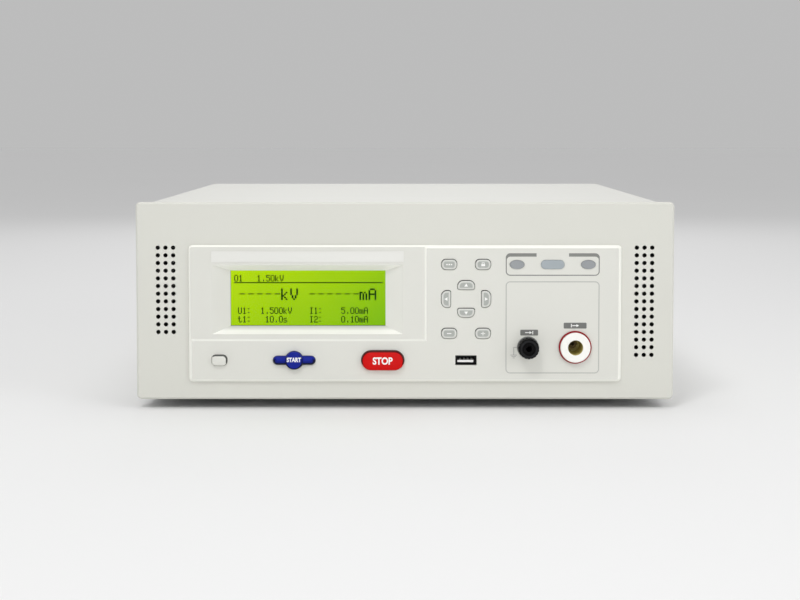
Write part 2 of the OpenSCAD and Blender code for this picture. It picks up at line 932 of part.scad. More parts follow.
module lamp_leds() {
    color([0.9, 0.9, 0.86])
        on_panel(frame_u, lamp_v, -board_space)
            for (i = [-1, 0, 1])
                translate([i * lamp_pitch, 0, 0]) {
                    cylinder(d = led_d, h = board_space - switch_h);
                    cylinder(d = led_d + 0.8, h = 1);
                }
}

module usb_shell() {
    color([0.75, 0.76, 0.78])
        on_panel(keypad_u, button_v, -board_space)
            difference() {
                linear_extrude(board_space + fascia_t - 0.6)
                    square([13.1, 5.7], center = true);
                translate([0, 0, 1.2])
                    linear_extrude(board_space + fascia_t)
                        square([12.3, 4.9], center = true);
            }
}

module usb_tongue() {
    color([0.93, 0.93, 0.92])
        on_panel(keypad_u, button_v, -board_space + 1.2) {
            translate([0, -0.9, 0])
                linear_extrude(board_space + fascia_t - 2.6)
                    square([11.2, 1.9], center = true);
            linear_extrude(2)
                square([12.1, 4.7], center = true);
        }
}

module output_ring() {
    color([0.6, 0.1, 0.14])
        on_panel(output_u, terminal_v, fascia_t)
            difference() {
                cylinder(d = output_ring_d, h = output_ring_t);
                translate([0, 0, -1])
                    cylinder(d = output_body_d + 2 * fit_gap, h = output_ring_t + 2);
            }
}

module output_insulator() {
    face = fascia_t + output_ring_t + output_flange_t;
    color([0.97, 0.97, 0.95])
        on_panel(output_u, terminal_v)
            difference() {
                union() {
                    translate([0, 0, fascia_t + output_ring_t])
                        cylinder(d = output_face_d, h = output_flange_t - 0.5);
                    translate([0, 0, face - 0.5])
                        cylinder(d1 = output_face_d, d2 = output_face_d - 1, h = 0.5);
                    translate([0, 0, -output_back])
                        cylinder(d = output_body_d, h = output_back + face - 1);
                }
                translate([0, 0, -output_depth])
                    cylinder(d = output_bore_d, h = output_depth + face + 1);
                translate([0, 0, -output_back - 1])
                    cylinder(d = output_pin_d + 0.2, h = output_back);
            }
}

module output_contact() {
    color([0.8, 0.65, 0.3])
        on_panel(output_u, terminal_v, -output_pin_back)
            difference() {
                cylinder(d = output_pin_d, h = output_pin_back - output_depth - 0.2);
                translate([0, 0, output_pin_back - output_depth - 9])
                    cylinder(d = 3, h = 10);
            }
}

module output_nut() {
    color([0.9, 0.9, 0.87])
        on_panel(output_u, terminal_v, -5.1)
            difference() {
                cylinder(d = 23, h = 5, $fn = 6);
                translate([0, 0, -1])
                    cylinder(d = output_body_d + 2 * fit_gap, h = 8);
            }
}

module return_base() {
    color([0.35, 0.35, 0.37])
        on_panel(return_u, terminal_v)
            difference() {
                union() {
                    translate([0, 0, fascia_t])
                        cylinder(d = cap_d + 1, h = post_flange_t);
                    translate([0, 0, -1])
                        cylinder(d = stud_d + 2, h = fascia_t + 2);
                }
                translate([0, 0, -2])
                    cylinder(d = stud_d + 0.2, h = fascia_t + 6);
            }
}

module return_stud() {
    tip = return_cap_d + cap_l - stud_inset;
    color([0.09, 0.09, 0.1])
        on_panel(return_u, terminal_v)
            difference() {
                translate([0, 0, -16])
                    cylinder(d = stud_d, h = tip + 16);
                translate([0, 0, -8])
                    cylinder(d = lead_bore_d, h = tip + 9);
            }
}

module return_nut() {
    color([0.75, 0.72, 0.6])
        on_panel(return_u, terminal_v, -5.2)
            difference() {
                cylinder(d = stud_d + 6, h = 4, $fn = 6);
                translate([0, 0, -1])
                    cylinder(d = stud_d + 0.2, h = 6);
            }
}

module return_collar() {
    color([0.78, 0.74, 0.6])
        on_panel(return_u, terminal_v, return_base_d)
            difference() {
                cylinder(d = cap_d - 2.4, h = collar_t);
                translate([0, 0, -1])
                    cylinder(d = stud_d + 2 * cap_gap, h = collar_t + 2);
            }
}

module return_cap() {
    color([0.07, 0.07, 0.08])
        on_panel(return_u, terminal_v, return_cap_d)
            difference() {
                union() {
                    cylinder(d = cap_d, h = cap_l - 1);
                    translate([0, 0, cap_l - 1 - eps])
                        cylinder(d1 = cap_d, d2 = cap_d - 2, h = 1 + eps);
                }
                translate([0, 0, -1])
                    cylinder(d = stud_d + 2 * cap_gap, h = cap_l + 2);
                translate([0, 0, cap_l - cap_recess])
                    cylinder(d = stud_d + 3, h = cap_recess + 1);
                for (a = [0 : 20 : 340])
                    rotate([0, 0, a])
                        translate([cap_d / 2 + flute_d / 2 - flute_depth, 0, 1.2])
                            cylinder(d = flute_d, h = cap_l, $fn = 24);
            }
}

// Stem and flange under a key, from its back edge to the push switch
module stem_below() {
    translate([0, 0, switch_d - stem_in])
        cylinder(d = stem_d, h = -switch_d + stem_in);
}

module power_button() {
    color([0.86, 0.86, 0.83])
        on_panel(power_u, button_v) {
            translate([0, 0, -flange_t - 0.1])
                bevelled_cap(fascia_t + power_proud + flange_t + 0.1, 1)
                    power_outline(key_gap);
            translate([0, 0, -flange_t - 0.1])
                linear_extrude(flange_t)
                    square([power_w + 2 * flange_lip - 1, power_h + 2 * flange_lip], center = true);
            translate([0, 0, -power_body_d - 4])
                cylinder(d = power_rod_d, h = power_body_d + 4);
        }
}

module start_button() {
    color([0.1, 0.14, 0.55])
        on_panel(start_u, button_v) {
            translate([0, 0, -flange_t - 0.1]) {
                bevelled_cap(fascia_t + button_proud + flange_t + 0.1, 0.8)
                    circle(d = start_d);
                bevelled_cap(fascia_t + button_proud + flange_t - 0.5, 0.8)
                    stadium(start_bar_w, start_bar_h);
                linear_extrude(flange_t) {
                    circle(d = start_d + 2 * key_gap + 2 * flange_lip);
                    square([start_bar_w + 1.4, start_bar_h - 1.6], center = true);
                }
            }
            stem_below();
        }
}

module stop_button() {
    color([0.85, 0.1, 0.13])
        on_panel(stop_u, button_v) {
            translate([0, 0, -flange_t - 0.1]) {
                bevelled_cap(fascia_t + button_proud + flange_t + 0.1, 1.4)
                    stadium(stop_w, stop_h);
                linear_extrude(flange_t)
                    square([stop_w + 2 * key_gap + 2 * flange_lip, stop_h / 2], center = true);
            }
            stem_below();
        }
}

// One key of the keypad: cap, flange behind the fascia and stem
module key(i) {
    color([0.8, 0.8, 0.78])
        on_panel(key_places[i][0], key_places[i][1]) {
            translate([0, 0, -flange_t - 0.1])
                bevelled_cap(fascia_t + key_proud + flange_t + 0.1, 0.6)
                    if (i < 4)
                        corner_outline(key_gap);
                    else
                        arrow_outline(i - 4, key_gap);
            translate([0, 0, -flange_t - 0.1])
                linear_extrude(flange_t)
                    if (i < 4)
                        square([corner_key_w - 4, corner_key_h + 2 * flange_lip], center = true);
                    else if (i < 6)
                        square([arrow_key_w + 2 * flange_lip, arrow_key_h - 3], center = true);
                    else
                        square([arrow_key_h - 3, arrow_key_w + 2 * flange_lip], center = true);
            stem_below();
        }
}

module key_upper_left() {
    key(0);
}

module key_upper_right() {
    key(1);
}

module key_lower_left() {
    key(2);
}

module key_lower_right() {
    key(3);
}

module key_up() {
    key(4);
}

module key_down() {
    key(5);
}

module key_left() {
    key(6);
}

module key_right() {
    key(7);
}

// Vent holes on one side of the panel: -1 left, 1 right
module vents(side, rows) {
    zone_w = (panel_w - fascia_w) / 2;
    spare = zone_w - (vent_columns - 1) * vent_pitch;
    for (c = [0 : vent_columns - 1], r = [0 : rows - 1])
        translate([side * (fascia_w / 2 + min(vent_gap, spare / 2) + c * vent_pitch),
            fascia_top - vent_drop - r * vent_pitch, -panel_t - 1])
            cylinder(d = vent_d, h = panel_t + 2, $fn = 24);
}

module front_panel() {
    color([0.84, 0.84, 0.81])
        on_panel()
            difference() {
                translate([0, panel_h / 2, -panel_t])
                    bevelled_plate(panel_w, panel_h, panel_corner_r, panel_t, panel_bevel);
                translate([0, fascia_mid, -panel_t - 1])
                    linear_extrude(panel_t + 2)
                        rounded_rect(opening_w, opening_h, 2);
                vents(-1, vent_rows_left);
                vents(1, vent_rows_right);
            }
}

foot_places = [
    for (x = [-1, 1], y = [case_y + foot_setback, rear_y - foot_setback])
        [x * (body_w / 2 - foot_inset), y]
];

module base_tray() {
    wall_l = case_depth - rear_t - fit_gap;
    color([0.7, 0.7, 0.69])
        difference() {
            union() {
                translate([-tray_w / 2, case_y, body_z])
                    cube([tray_w, case_depth, sheet_t]);
                for (x = [-tray_w / 2, tray_w / 2 - sheet_t])
                    translate([x, case_y, body_z])
                        cube([sheet_t, wall_l, tray_side_h]);
                translate([-tray_w / 2, case_y, body_z])
                    cube([tray_w, sheet_t, tray_lip_h]);
            }
            for (p = foot_places)
                translate([p[0], p[1], body_z])
                    screw_hole(4);
            for (x = [-1, 1], y = cover_screw_ys)
                translate([x * tray_w / 2, y, cover_screw_z])
                    rotate([0, 90, 0])
                        cylinder(d = screw_d + 2 * screw_gap, h = 12, center = true);
        }
}

module top_cover() {
    color([0.87, 0.87, 0.85])
        difference() {
            translate([0, rear_y, body_z])
                rotate([90, 0, 0])
                    linear_extrude(case_depth)
                        difference() {
                            union() {
                                translate([-body_w / 2, 0])
                                    square([body_w, body_h - cover_bend_r]);
                                translate([-body_w / 2 + cover_bend_r, 0])
                                    square([body_w - 2 * cover_bend_r, body_h]);
                                for (x = [-1, 1])
                                    translate([x * (body_w / 2 - cover_bend_r), body_h - cover_bend_r])
                                        circle(cover_bend_r);
                            }
                            translate([-body_w / 2 + sheet_t, -1])
                                square([body_w - 2 * sheet_t, body_h - cover_bend_r + 1]);
                            translate([-body_w / 2 + cover_bend_r, -1])
                                square([body_w - 2 * cover_bend_r, body_h - sheet_t + 1]);
                            for (x = [-1, 1])
                                translate([x * (body_w / 2 - cover_bend_r), body_h - cover_bend_r])
                                    circle(cover_bend_r - sheet_t);
                        }
            for (x = [-1, 1], y = cover_screw_ys)
                translate([x * body_w / 2, y, cover_screw_z])
                    rotate([0, 90, 0])
                        cylinder(d = screw_d + 2 * screw_gap, h = 12, center = true);
        }
}

module panel_brackets() {
    leg = 14;
    ledge = 4.6;
    tall = body_h - 24;
    color([0.72, 0.72, 0.72])
        for (x = [-1, 1])
            mirror([x < 0 ? 1 : 0, 0, 0])
                translate([tray_w / 2 - sheet_t, case_y + sheet_t, tray_top]) {
                    translate([-1.5, 0, 0])
                        cube([1.5, leg, tall]);
                    translate([-ledge, 0, 0])
                        cube([ledge, 1.5, tall]);
                    translate([-ledge, -sheet_t, tray_lip_h])
                        cube([ledge, sheet_t + 1, tall - tray_lip_h]);
                }
}

module feet() {
    color([0.06, 0.06, 0.06])
        for (p = foot_places)
            translate([p[0], p[1], 0])
                difference() {
                    union() {
                        cylinder(d1 = foot_d - 2, d2 = foot_d, h = 1.5);
                        translate([0, 0, 1.5 - eps])
                            cylinder(d = foot_d, h = foot_h - 1.5 + eps);
                    }
                    translate([0, 0, -1])
                        cylinder(d = 9, h = foot_h - 2);
                    translate([0, 0, -1])
                        cylinder(d = 4 + 2 * screw_gap, h = foot_h + 2);
                }
}

module case_screws() {
    color([0.75, 0.75, 0.76]) {
        for (x = [-1, 1], y = cover_screw_ys)
            translate([x * body_w / 2, y, cover_screw_z])
                rotate([0, x * 90, 0])
                    screw(5);
        for (p = foot_places)
            translate([p[0], p[1], foot_h - 3])
                mirror([0, 0, 1])
                    screw(foot_screw_l, 4, 8, 2.4);
        for (x = [-1, 1], z = [-1, 1])
            on_rear(fan_x + x * fan_pitch / 2, fan_z + z * fan_pitch / 2, guard_wire)
                screw(fan_depth - 4, 3.6, 7, 2.4);
        for (x = [-inlet_screw_x, inlet_screw_x])
            on_rear(inlet_x + x, fit_z, inlet_flange_t)
                screw(inlet_screw_l);
    }
}

module rear_panel() {
    plate_h = body_h - 2 * sheet_t - fit_gap;
    color([0.85, 0.85, 0.83])
        difference() {
            union() {
                translate([0, rear_y, tray_top])
                    rotate([90, 0, 0])
                        linear_extrude(rear_t) {
                            translate([-tray_w / 2, 0])
                                square([tray_w, plate_h - cover_bend_r]);
                            translate([-tray_w / 2 + cover_bend_r, 0])
                                square([tray_w - 2 * cover_bend_r, plate_h]);
                            for (x = [-1, 1])
                                translate([x * (tray_w / 2 - cover_bend_r), plate_h - cover_bend_r])
                                    circle(cover_bend_r);
                        }
                translate([-tray_w / 2 + 12, rear_y - 14, tray_top])
                    cube([tray_w - 24, 14, rear_t]);
            }
            on_rear(fan_x, fan_z)
                cylinder(d = fan_hole, h = 3 * rear_t + 10, center = true);
            for (x = [-1, 1], z = [-1, 1])
                on_rear(fan_x + x * fan_pitch / 2, fan_z + z * fan_pitch / 2)
                    cylinder(d = 4, h = 20, center = true);
            on_rear(inlet_x, fit_z)
                translate([-inlet_w / 2 - fit_gap, -inlet_h / 2 - fit_gap, -6])
                    cube([inlet_w + 2 * fit_gap, inlet_h + 2 * fit_gap, 12]);
            for (x = [-inlet_screw_x, inlet_screw_x])
                on_rear(inlet_x + x, fit_z)
                    cylinder(d = screw_d + 2 * screw_gap, h = 20, center = true);
            for (p = [[serial_x, serial_w], [handler_x, handler_w]])
                on_rear(p[0], fit_z)
                    cube([p[1] - slant_flange + 2 * slant_gap, slant_h + 2 * slant_gap, 12], center = true);
            on_rear(earth_x, earth_z)
                cylinder(d = earth_d + 2 * screw_gap, h = 20, center = true);
        }
}

module fan_frame() {
    color([0.08, 0.08, 0.09])
        translate([fan_x, fan_y, fan_z])
            rotate([-90, 0, 0])
                difference() {
                    union() {
                        difference() {
                            translate([-fan_size / 2, -fan_size / 2, 0])
                                cube([fan_size, fan_size, fan_depth]);
                            translate([0, 0, -1])
                                cylinder(d = fan_size - 4, h = fan_depth + 2);
                        }
                        cylinder(d = fan_hub_d, h = 4);
                        for (a = [45 : 90 : 315])
                            rotate([0, 0, a])
                                translate([0, -2.5, 0])
                                    cube([fan_size / 2 + 1, 5, 3]);
                        cylinder(d = 8, h = fan_depth - 8);
                    }
                    translate([0, 0, 2])
                        cylinder(d = fan_shaft_d + 0.1, h = fan_depth);
                    for (x = [-1, 1], y = [-1, 1])
                        translate([x * fan_pitch / 2, y * fan_pitch / 2, -1])
                            cylinder(d = 4, h = fan_depth + 2);
                }
}

module fan_rotor() {
    hub_l = fan_depth - 6.5;
    color([0.1, 0.1, 0.11])
        translate([fan_x, fan_y, fan_z])
            rotate([-90, 0, 0]) {
                translate([0, 0, 5])
                    difference() {
                        cylinder(d = fan_hub_d, h = hub_l);
                        translate([0, 0, -1])
                            cylinder(d = fan_hub_d - 4, h = hub_l - 1);
                    }
                translate([0, 0, 3])
                    cylinder(d = fan_shaft_d, h = hub_l + 1);
                intersection() {
                    translate([0, 0, 5])
                        difference() {
                            cylinder(d = fan_size - 6, h = hub_l);
                            translate([0, 0, -1])
                                cylinder(d = fan_hub_d - 1, h = hub_l + 2);
                        }
                    union() {
                        for (a = [0 : 7 - 1])
                            rotate([0, 0, a * 360 / 7])
                                translate([fan_size / 4, 0, 5 + hub_l / 2])
                                    rotate([38, 0, 0])
                                        cube([fan_size / 2, 1.6, hub_l * 1.5], center = true);
                    }
                }
            }
}

module fan_guard() {
    color([0.75, 0.76, 0.78])
        on_rear(fan_x, fan_z)
            linear_extrude(guard_wire)
                difference() {
                    union() {
                        for (r = [14 : 8 : fan_hole / 2 + 1])
                            difference() {
                                circle(r + guard_wire / 2);
                                circle(r - guard_wire / 2);
                            }
                        for (a = [45, 135])
                            rotate(a)
                                square([fan_pitch * sqrt(2), guard_wire], center = true);
                        for (x = [-1, 1], y = [-1, 1])
                            translate([x * fan_pitch / 2, y * fan_pitch / 2])
                                circle(4.4);
                    }
                    for (x = [-1, 1], y = [-1, 1])
                        translate([x * fan_pitch / 2, y * fan_pitch / 2])
                            circle(2);
                }
}

module inlet_housing() {
    color([0.08, 0.08, 0.09])
        on_rear(inlet_x, fit_z)
            difference() {
                union() {
                    linear_extrude(inlet_flange_t)
                        rounded_rect(inlet_flange_w, inlet_h + inlet_rim, inlet_rim);
                    translate([-inlet_w / 2, -inlet_h / 2, -inlet_depth])
                        cube([inlet_w, inlet_h, inlet_depth + 1]);
                }
                translate([0, socket_z, inlet_flange_t - socket_depth])
                    linear_extrude(socket_depth + 1)
                        polygon([[-socket_w / 2, -socket_h / 2], [socket_w / 2, -socket_h / 2],
                            [socket_w / 2, socket_h / 2 - 5], [socket_w / 2 - 5, socket_h / 2],
                            [-socket_w / 2 + 5, socket_h / 2], [-socket_w / 2, socket_h / 2 - 5]]);
                translate([-drawer_w / 2 - fit_gap, drawer_z - drawer_h / 2 - fit_gap,
                    inlet_flange_t - drawer_l - fit_gap])
                    cube([drawer_w + 2 * fit_gap, drawer_h + 2 * fit_gap, drawer_l + 2]);
                for (p = blade_places)
                    translate([p[0] - blade_w / 2 - 0.1, p[1] - blade_h / 2 - 0.1, -inlet_depth - 1])
                        cube([blade_w + 0.2, blade_h + 0.2, inlet_depth]);
                for (x = [-inlet_screw_x, inlet_screw_x])
                    translate([x, 0, 0])
                        screw_hole();
            }
}

module inlet_pins() {
    color([0.8, 0.8, 0.8])
        on_rear(inlet_x, fit_z)
            for (p = blade_places)
                translate([p[0] - blade_w / 2, p[1] - blade_h / 2, -inlet_depth - 6])
                    cube([blade_w, blade_h, inlet_depth + 6 + inlet_flange_t - 7]);
}

module fuse_drawer() {
    color([0.12, 0.12, 0.13])
        on_rear(inlet_x, fit_z)
            translate([0, drawer_z, inlet_flange_t])
                difference() {
                    union() {
                        translate([-drawer_w / 2, -drawer_h / 2, -drawer_l])
                            cube([drawer_w, drawer_h, drawer_l]);
                        translate([-6, -1, -1])
                            cube([12, 2, 3]);
                    }
                    translate([-drawer_w / 2 + 2, -drawer_h / 2 + 1.4, -drawer_l + 2])
                        cube([drawer_w - 4, drawer_h, drawer_l - 5]);
                }
}

// Rear connector with a slanted metal shell, w wide over its flange
module slant_port(w) {
    inner = w - slant_flange - 3;
    difference() {
        union() {
            linear_extrude(1)
                square([w, slant_h + 2], center = true);
            linear_extrude(6)
                polygon([[-inner / 2 - 1, 4.2], [inner / 2 + 1, 4.2], [inner / 2 - 1, -4.2],
                    [-inner / 2 + 1, -4.2]]);
            translate([-inner / 2 - 1.5, -slant_h / 2, -9])
                cube([inner + 3, slant_h, 9.5]);
        }
        translate([0, 0, 1.5])
            linear_extrude(6)
                polygon([[-inner / 2, 3.4], [inner / 2, 3.4], [inner / 2 - 1.7, -3.4],
                    [-inner / 2 + 1.7, -3.4]]);
    }
    for (x = [-1, 1])
        translate([x * (w / 2 - 3), 0, 0.5])
            cylinder(d = 5, h = 4.5, $fn = 6);
    for (x = [-inner / 2 + 2.6 : 2.77 : inner / 2 - 2], y = [-1.4, 1.4])
        translate([x + y * 0.3, y, 1])
            cylinder(d = 1, h = 4, $fn = 8);
}

module serial_port() {
    color([0.72, 0.73, 0.75])
        on_rear(serial_x, fit_z)
            slant_port(serial_w);
}

module handler_port() {
    color([0.72, 0.73, 0.75])
        on_rear(handler_x, fit_z)
            slant_port(handler_w);
}

module earth_post() {
    color([0.8, 0.66, 0.32])
        on_rear(earth_x, earth_z) {
            translate([0, 0, -earth_in])
                cylinder(d = earth_d, h = earth_in + rear_proud);
            cylinder(d = 12, h = 1);
            cylinder(d = 9.2, h = 4.2, $fn = 6);
            translate([0, 0, -rear_t - 4])
                cylinder(d = 9.2, h = 4, $fn = 6);
        }
}

module mains_toroid() {
    edge = toroid_edge_r;
    inner = toroid_hole_d / 2;
    wide = toroid_d / 2 - inner;
    color([0.8, 0.72, 0.3])
        translate([toroid_x, toroid_y, tray_top])
            rotate_extrude()
                union() {
                    translate([inner, edge])
                        square([wide, toroid_h - 2 * edge]);
                    translate([inner + edge, 0])
                        square([wide - 2 * edge, toroid_h]);
                    for (x = [inner + edge, inner + wide - edge], z = [edge, toroid_h - edge])
                        translate([x, z])
                            circle(edge);
                }
}

module toroid_clamp() {
    color([0.7, 0.7, 0.72])
        translate([toroid_x, toroid_y, tray_top]) {
            cylinder(d = clamp_bolt_d, h = toroid_h + 2 * clamp_t);
            translate([0, 0, toroid_h])
                cylinder(d = toroid_hole_d + 2 * clamp_lap, h = clamp_t);
            translate([0, 0, toroid_h + clamp_t / 2])
                cylinder(d = 1.9 * clamp_bolt_d, h = clamp_nut_h, $fn = 6);
        }
}

module hv_core() {
    color([0.35, 0.36, 0.4])
        translate([core_x, core_y, core_z]) {
            rotate([90, 0, 0])
                linear_extrude(core_stack, center = true)
                    difference() {
                        translate([-core_w / 2, 0])
                            square([core_w, core_h]);
                        for (x = [-1, 1])
                            translate([x * (core_leg / 2 + window_in_w / 2), core_h / 2])
                                square([window_in_w, core_h - core_leg], center = true);
                    }
            translate([-core_w / 2 - core_foot, -core_stack / 2, -core_base_t])
                cube([core_w + 2 * core_foot, core_stack, core_base_t + eps]);
        }
}

module hv_winding() {
    color([0.55, 0.16, 0.1])
        translate([core_x, core_y, core_z + core_h / 2])
            difference() {
                cube([core_leg + 2 * window_in_w - 2 * fit_gap, core_stack + 2 * winding_over,
                    core_h - core_leg - 2 * fit_gap], center = true);
                cube([core_leg + 2 * fit_gap, core_stack + 2 * fit_gap, core_h], center = true);
            }
}

module hv_lead() {
    lead_z = panel_z + terminal_v;
    from = panel_y + output_pin_back;
    to = core_y - core_stack / 2 - winding_over;
    color([0.75, 0.1, 0.1])
        translate([output_u, from, lead_z])
            rotate([-90, 0, 0])
                cylinder(d = lead_d, h = to - from);
}

// Holes at the corners of a board
function corners(w, l) = [
    for (x = [-1, 1], y = [-1, 1]) [x * (w / 2 - board_edge), y * (l / 2 - board_edge)]
];

module control_board() {
    color([0.05, 0.35, 0.15])
        translate([control_x, control_y, tray_top]) {
            translate([0, 0, standoff_h + board_t / 2])
                cube([control_board_w, control_board_l, board_t], center = true);
            for (p = corners(control_board_w, control_board_l))
                translate([p[0], p[1], 0])
                    cylinder(d = standoff_d, h = standoff_h + eps, $fn = 6);
        }
}

module control_parts() {
    color([0.15, 0.15, 0.16])
        translate([control_x, control_y, control_z + board_t]) {
            for (i = [-1 : 1])
                translate([i * chip_step - chip_w / 2, -chip_w / 2, 0])
                    cube([chip_w, chip_w, chip_t]);
            for (i = [1 : 3])
                translate([-i * can_step, control_board_l / 2 - can_d - board_edge, 0])
                    cylinder(d = can_d, h = can_h);
            for (i = [0, 1])
                translate([relay_l + i * (relay_w + board_edge),
                    control_board_l / 2 - relay_l - 2 * board_edge, 0])
                    cube([relay_w, relay_l, relay_h]);
            translate([-plug_w / 2, -control_board_l / 2 + board_edge, 0])
                cube([plug_w, plug_l, plug_h]);
        }
}

module hv_board() {
    color([0.06, 0.3, 0.2])
        translate([hv_board_x, hv_board_y, tray_top]) {
            translate([0, 0, standoff_h + board_t / 2])
                cube([hv_board_w, hv_board_l, board_t], center = true);
            for (p = corners(hv_board_w, hv_board_l))
                translate([p[0], p[1], 0])
                    cylinder(d = standoff_d, h = standoff_h + eps, $fn = 6);
            for (i = [-1 : 1])
                translate([i * tube_step, 0, standoff_h + board_t + tube_d / 2 - 0.1])
                    rotate([90, 0, 0])
                        cylinder(d = tube_d, h = tube_l, center = true);
        }
}

module heat_sink() {
    step = (sink_w - fin_t) / (sink_fins - 1);
    color([0.25, 0.25, 0.27])
        translate([sink_x - sink_w / 2, sink_y - sink_l / 2, tray_top]) {
            cube([sink_w, sink_l, sink_base_t]);
            for (i = [0 : sink_fins - 1])
                translate([i * step, 0, sink_base_t - eps])
                    cube([fin_t, sink_l, sink_h - sink_base_t + eps]);
        }
}

base_tray();
top_cover();
rear_panel();
front_panel();
panel_brackets();
fascia();
name_strip();
display_window();
lcd_frame();
lcd_glass();
lcd_backlight();
lcd_board();
key_board();
key_switches();
power_switch();
board_screws();
lamp_lenses();
lamp_leds();
usb_shell();
usb_tongue();
output_ring();
output_insulator();
output_contact();
output_nut();
return_base();
return_stud();
return_nut();
return_collar();
return_cap();
power_button();
start_button();
stop_button();
key_upper_left();
key_upper_right();
key_lower_left();
key_lower_right();
key_up();
key_down();
key_left();
key_right();
feet();
case_screws();
mains_toroid();
toroid_clamp();
hv_core();
hv_winding();
hv_lead();
control_board();
control_parts();
hv_board();
heat_sink();
fan_frame();
fan_rotor();
fan_guard();
inlet_housing();
inlet_pins();
fuse_drawer();
serial_port();
handler_port();
earth_post();
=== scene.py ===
import functools
import itertools
import math

import bmesh
import bpy
from bpy.props import FloatProperty, FloatVectorProperty, PointerProperty
from bpy.types import Operator, Panel, PropertyGroup
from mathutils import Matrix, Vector


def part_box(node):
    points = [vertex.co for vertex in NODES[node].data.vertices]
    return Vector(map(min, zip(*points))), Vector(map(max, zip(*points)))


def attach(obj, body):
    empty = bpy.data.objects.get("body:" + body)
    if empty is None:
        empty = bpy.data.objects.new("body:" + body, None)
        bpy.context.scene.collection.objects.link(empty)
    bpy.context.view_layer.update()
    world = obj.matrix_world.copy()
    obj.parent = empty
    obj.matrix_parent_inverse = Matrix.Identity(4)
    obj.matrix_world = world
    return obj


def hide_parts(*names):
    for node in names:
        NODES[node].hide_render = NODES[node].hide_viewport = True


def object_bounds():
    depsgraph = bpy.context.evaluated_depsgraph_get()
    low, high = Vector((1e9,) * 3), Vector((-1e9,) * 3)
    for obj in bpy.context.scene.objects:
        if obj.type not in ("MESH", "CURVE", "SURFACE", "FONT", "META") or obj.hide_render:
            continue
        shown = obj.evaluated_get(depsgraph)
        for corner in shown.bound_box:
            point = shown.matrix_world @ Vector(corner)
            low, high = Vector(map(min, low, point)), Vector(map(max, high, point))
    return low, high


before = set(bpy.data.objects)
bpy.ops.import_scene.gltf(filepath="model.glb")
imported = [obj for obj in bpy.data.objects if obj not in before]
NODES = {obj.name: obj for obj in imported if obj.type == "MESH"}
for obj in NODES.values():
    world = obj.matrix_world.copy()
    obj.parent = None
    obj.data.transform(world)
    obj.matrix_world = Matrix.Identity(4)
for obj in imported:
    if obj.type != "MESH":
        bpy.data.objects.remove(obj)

bl_info = {
    "name": "Hipot tester looks",
    "version": (1, 0, 0),
    "blender": (4, 5, 0),
    "location": "View3D > Sidebar > Tester",
    "description": "Finishes, legends and stage for a bench hipot tester",
    "category": "Object",
}

CAD_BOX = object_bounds()
MM = 0.001
UP = Vector((0, 0, 1))
CHASSIS = "chassis"
IMAGE_WIDTH = 800
SENSOR_WIDTH = 36.0
# Edges sharper than this are rounded
SHARP = math.radians(35)
# Least radius of a rounded corner
LEAST_RADIUS = 0.02 * MM
# Degrees up to which faces are shaded as one, on flat pieces and on caps
FLAT_SMOOTH = 32
CAP_SMOOTH = 40
# From the back of a button's solid to the back of its cap
CAP_INSET = 4 * MM
# Depth of the printed frames' groove in the fascia
GROOVE = 0.3 * MM
# Part of a normal above which a slope is taken to face that way
LEAN = 0.3


def rgb(red, green, blue):
    """Linear colour from the 8 bit values that a screen shows."""
    def linear(value):
        part = value / 255
        return part / 12.92 if part <= 0.04045 else ((part + 0.055) / 1.055) ** 2.4
    return (linear(red), linear(green), linear(blue))


BOARD_GREEN = rgb(20, 92, 50)


def colour_prop(label, words, red, green, blue):
    """Colour property with its default given as screen values."""
    return FloatVectorProperty(
        name=label, description=words, subtype="COLOR", size=3, min=0, max=1,
        default=rgb(red, green, blue))


def length_prop(label, words, millimetres):
    """Length property with its default given in millimetres."""
    return FloatProperty(
        name=label, description=words, unit="LENGTH", min=0, default=millimetres * MM)


def outline_prop(label, words, *millimetres):
    """Width, height and corner radius of something, with their defaults given in millimetres."""
    return FloatVectorProperty(
        name=label, description="Width, height and corner radius of " + words, unit="LENGTH",
        size=3, min=0, default=[value * MM for value in millimetres])


def power_prop(label, words, watts):
    """Power property of a lamp."""
    return FloatProperty(name=label, description=words, unit="POWER", min=0, default=watts)


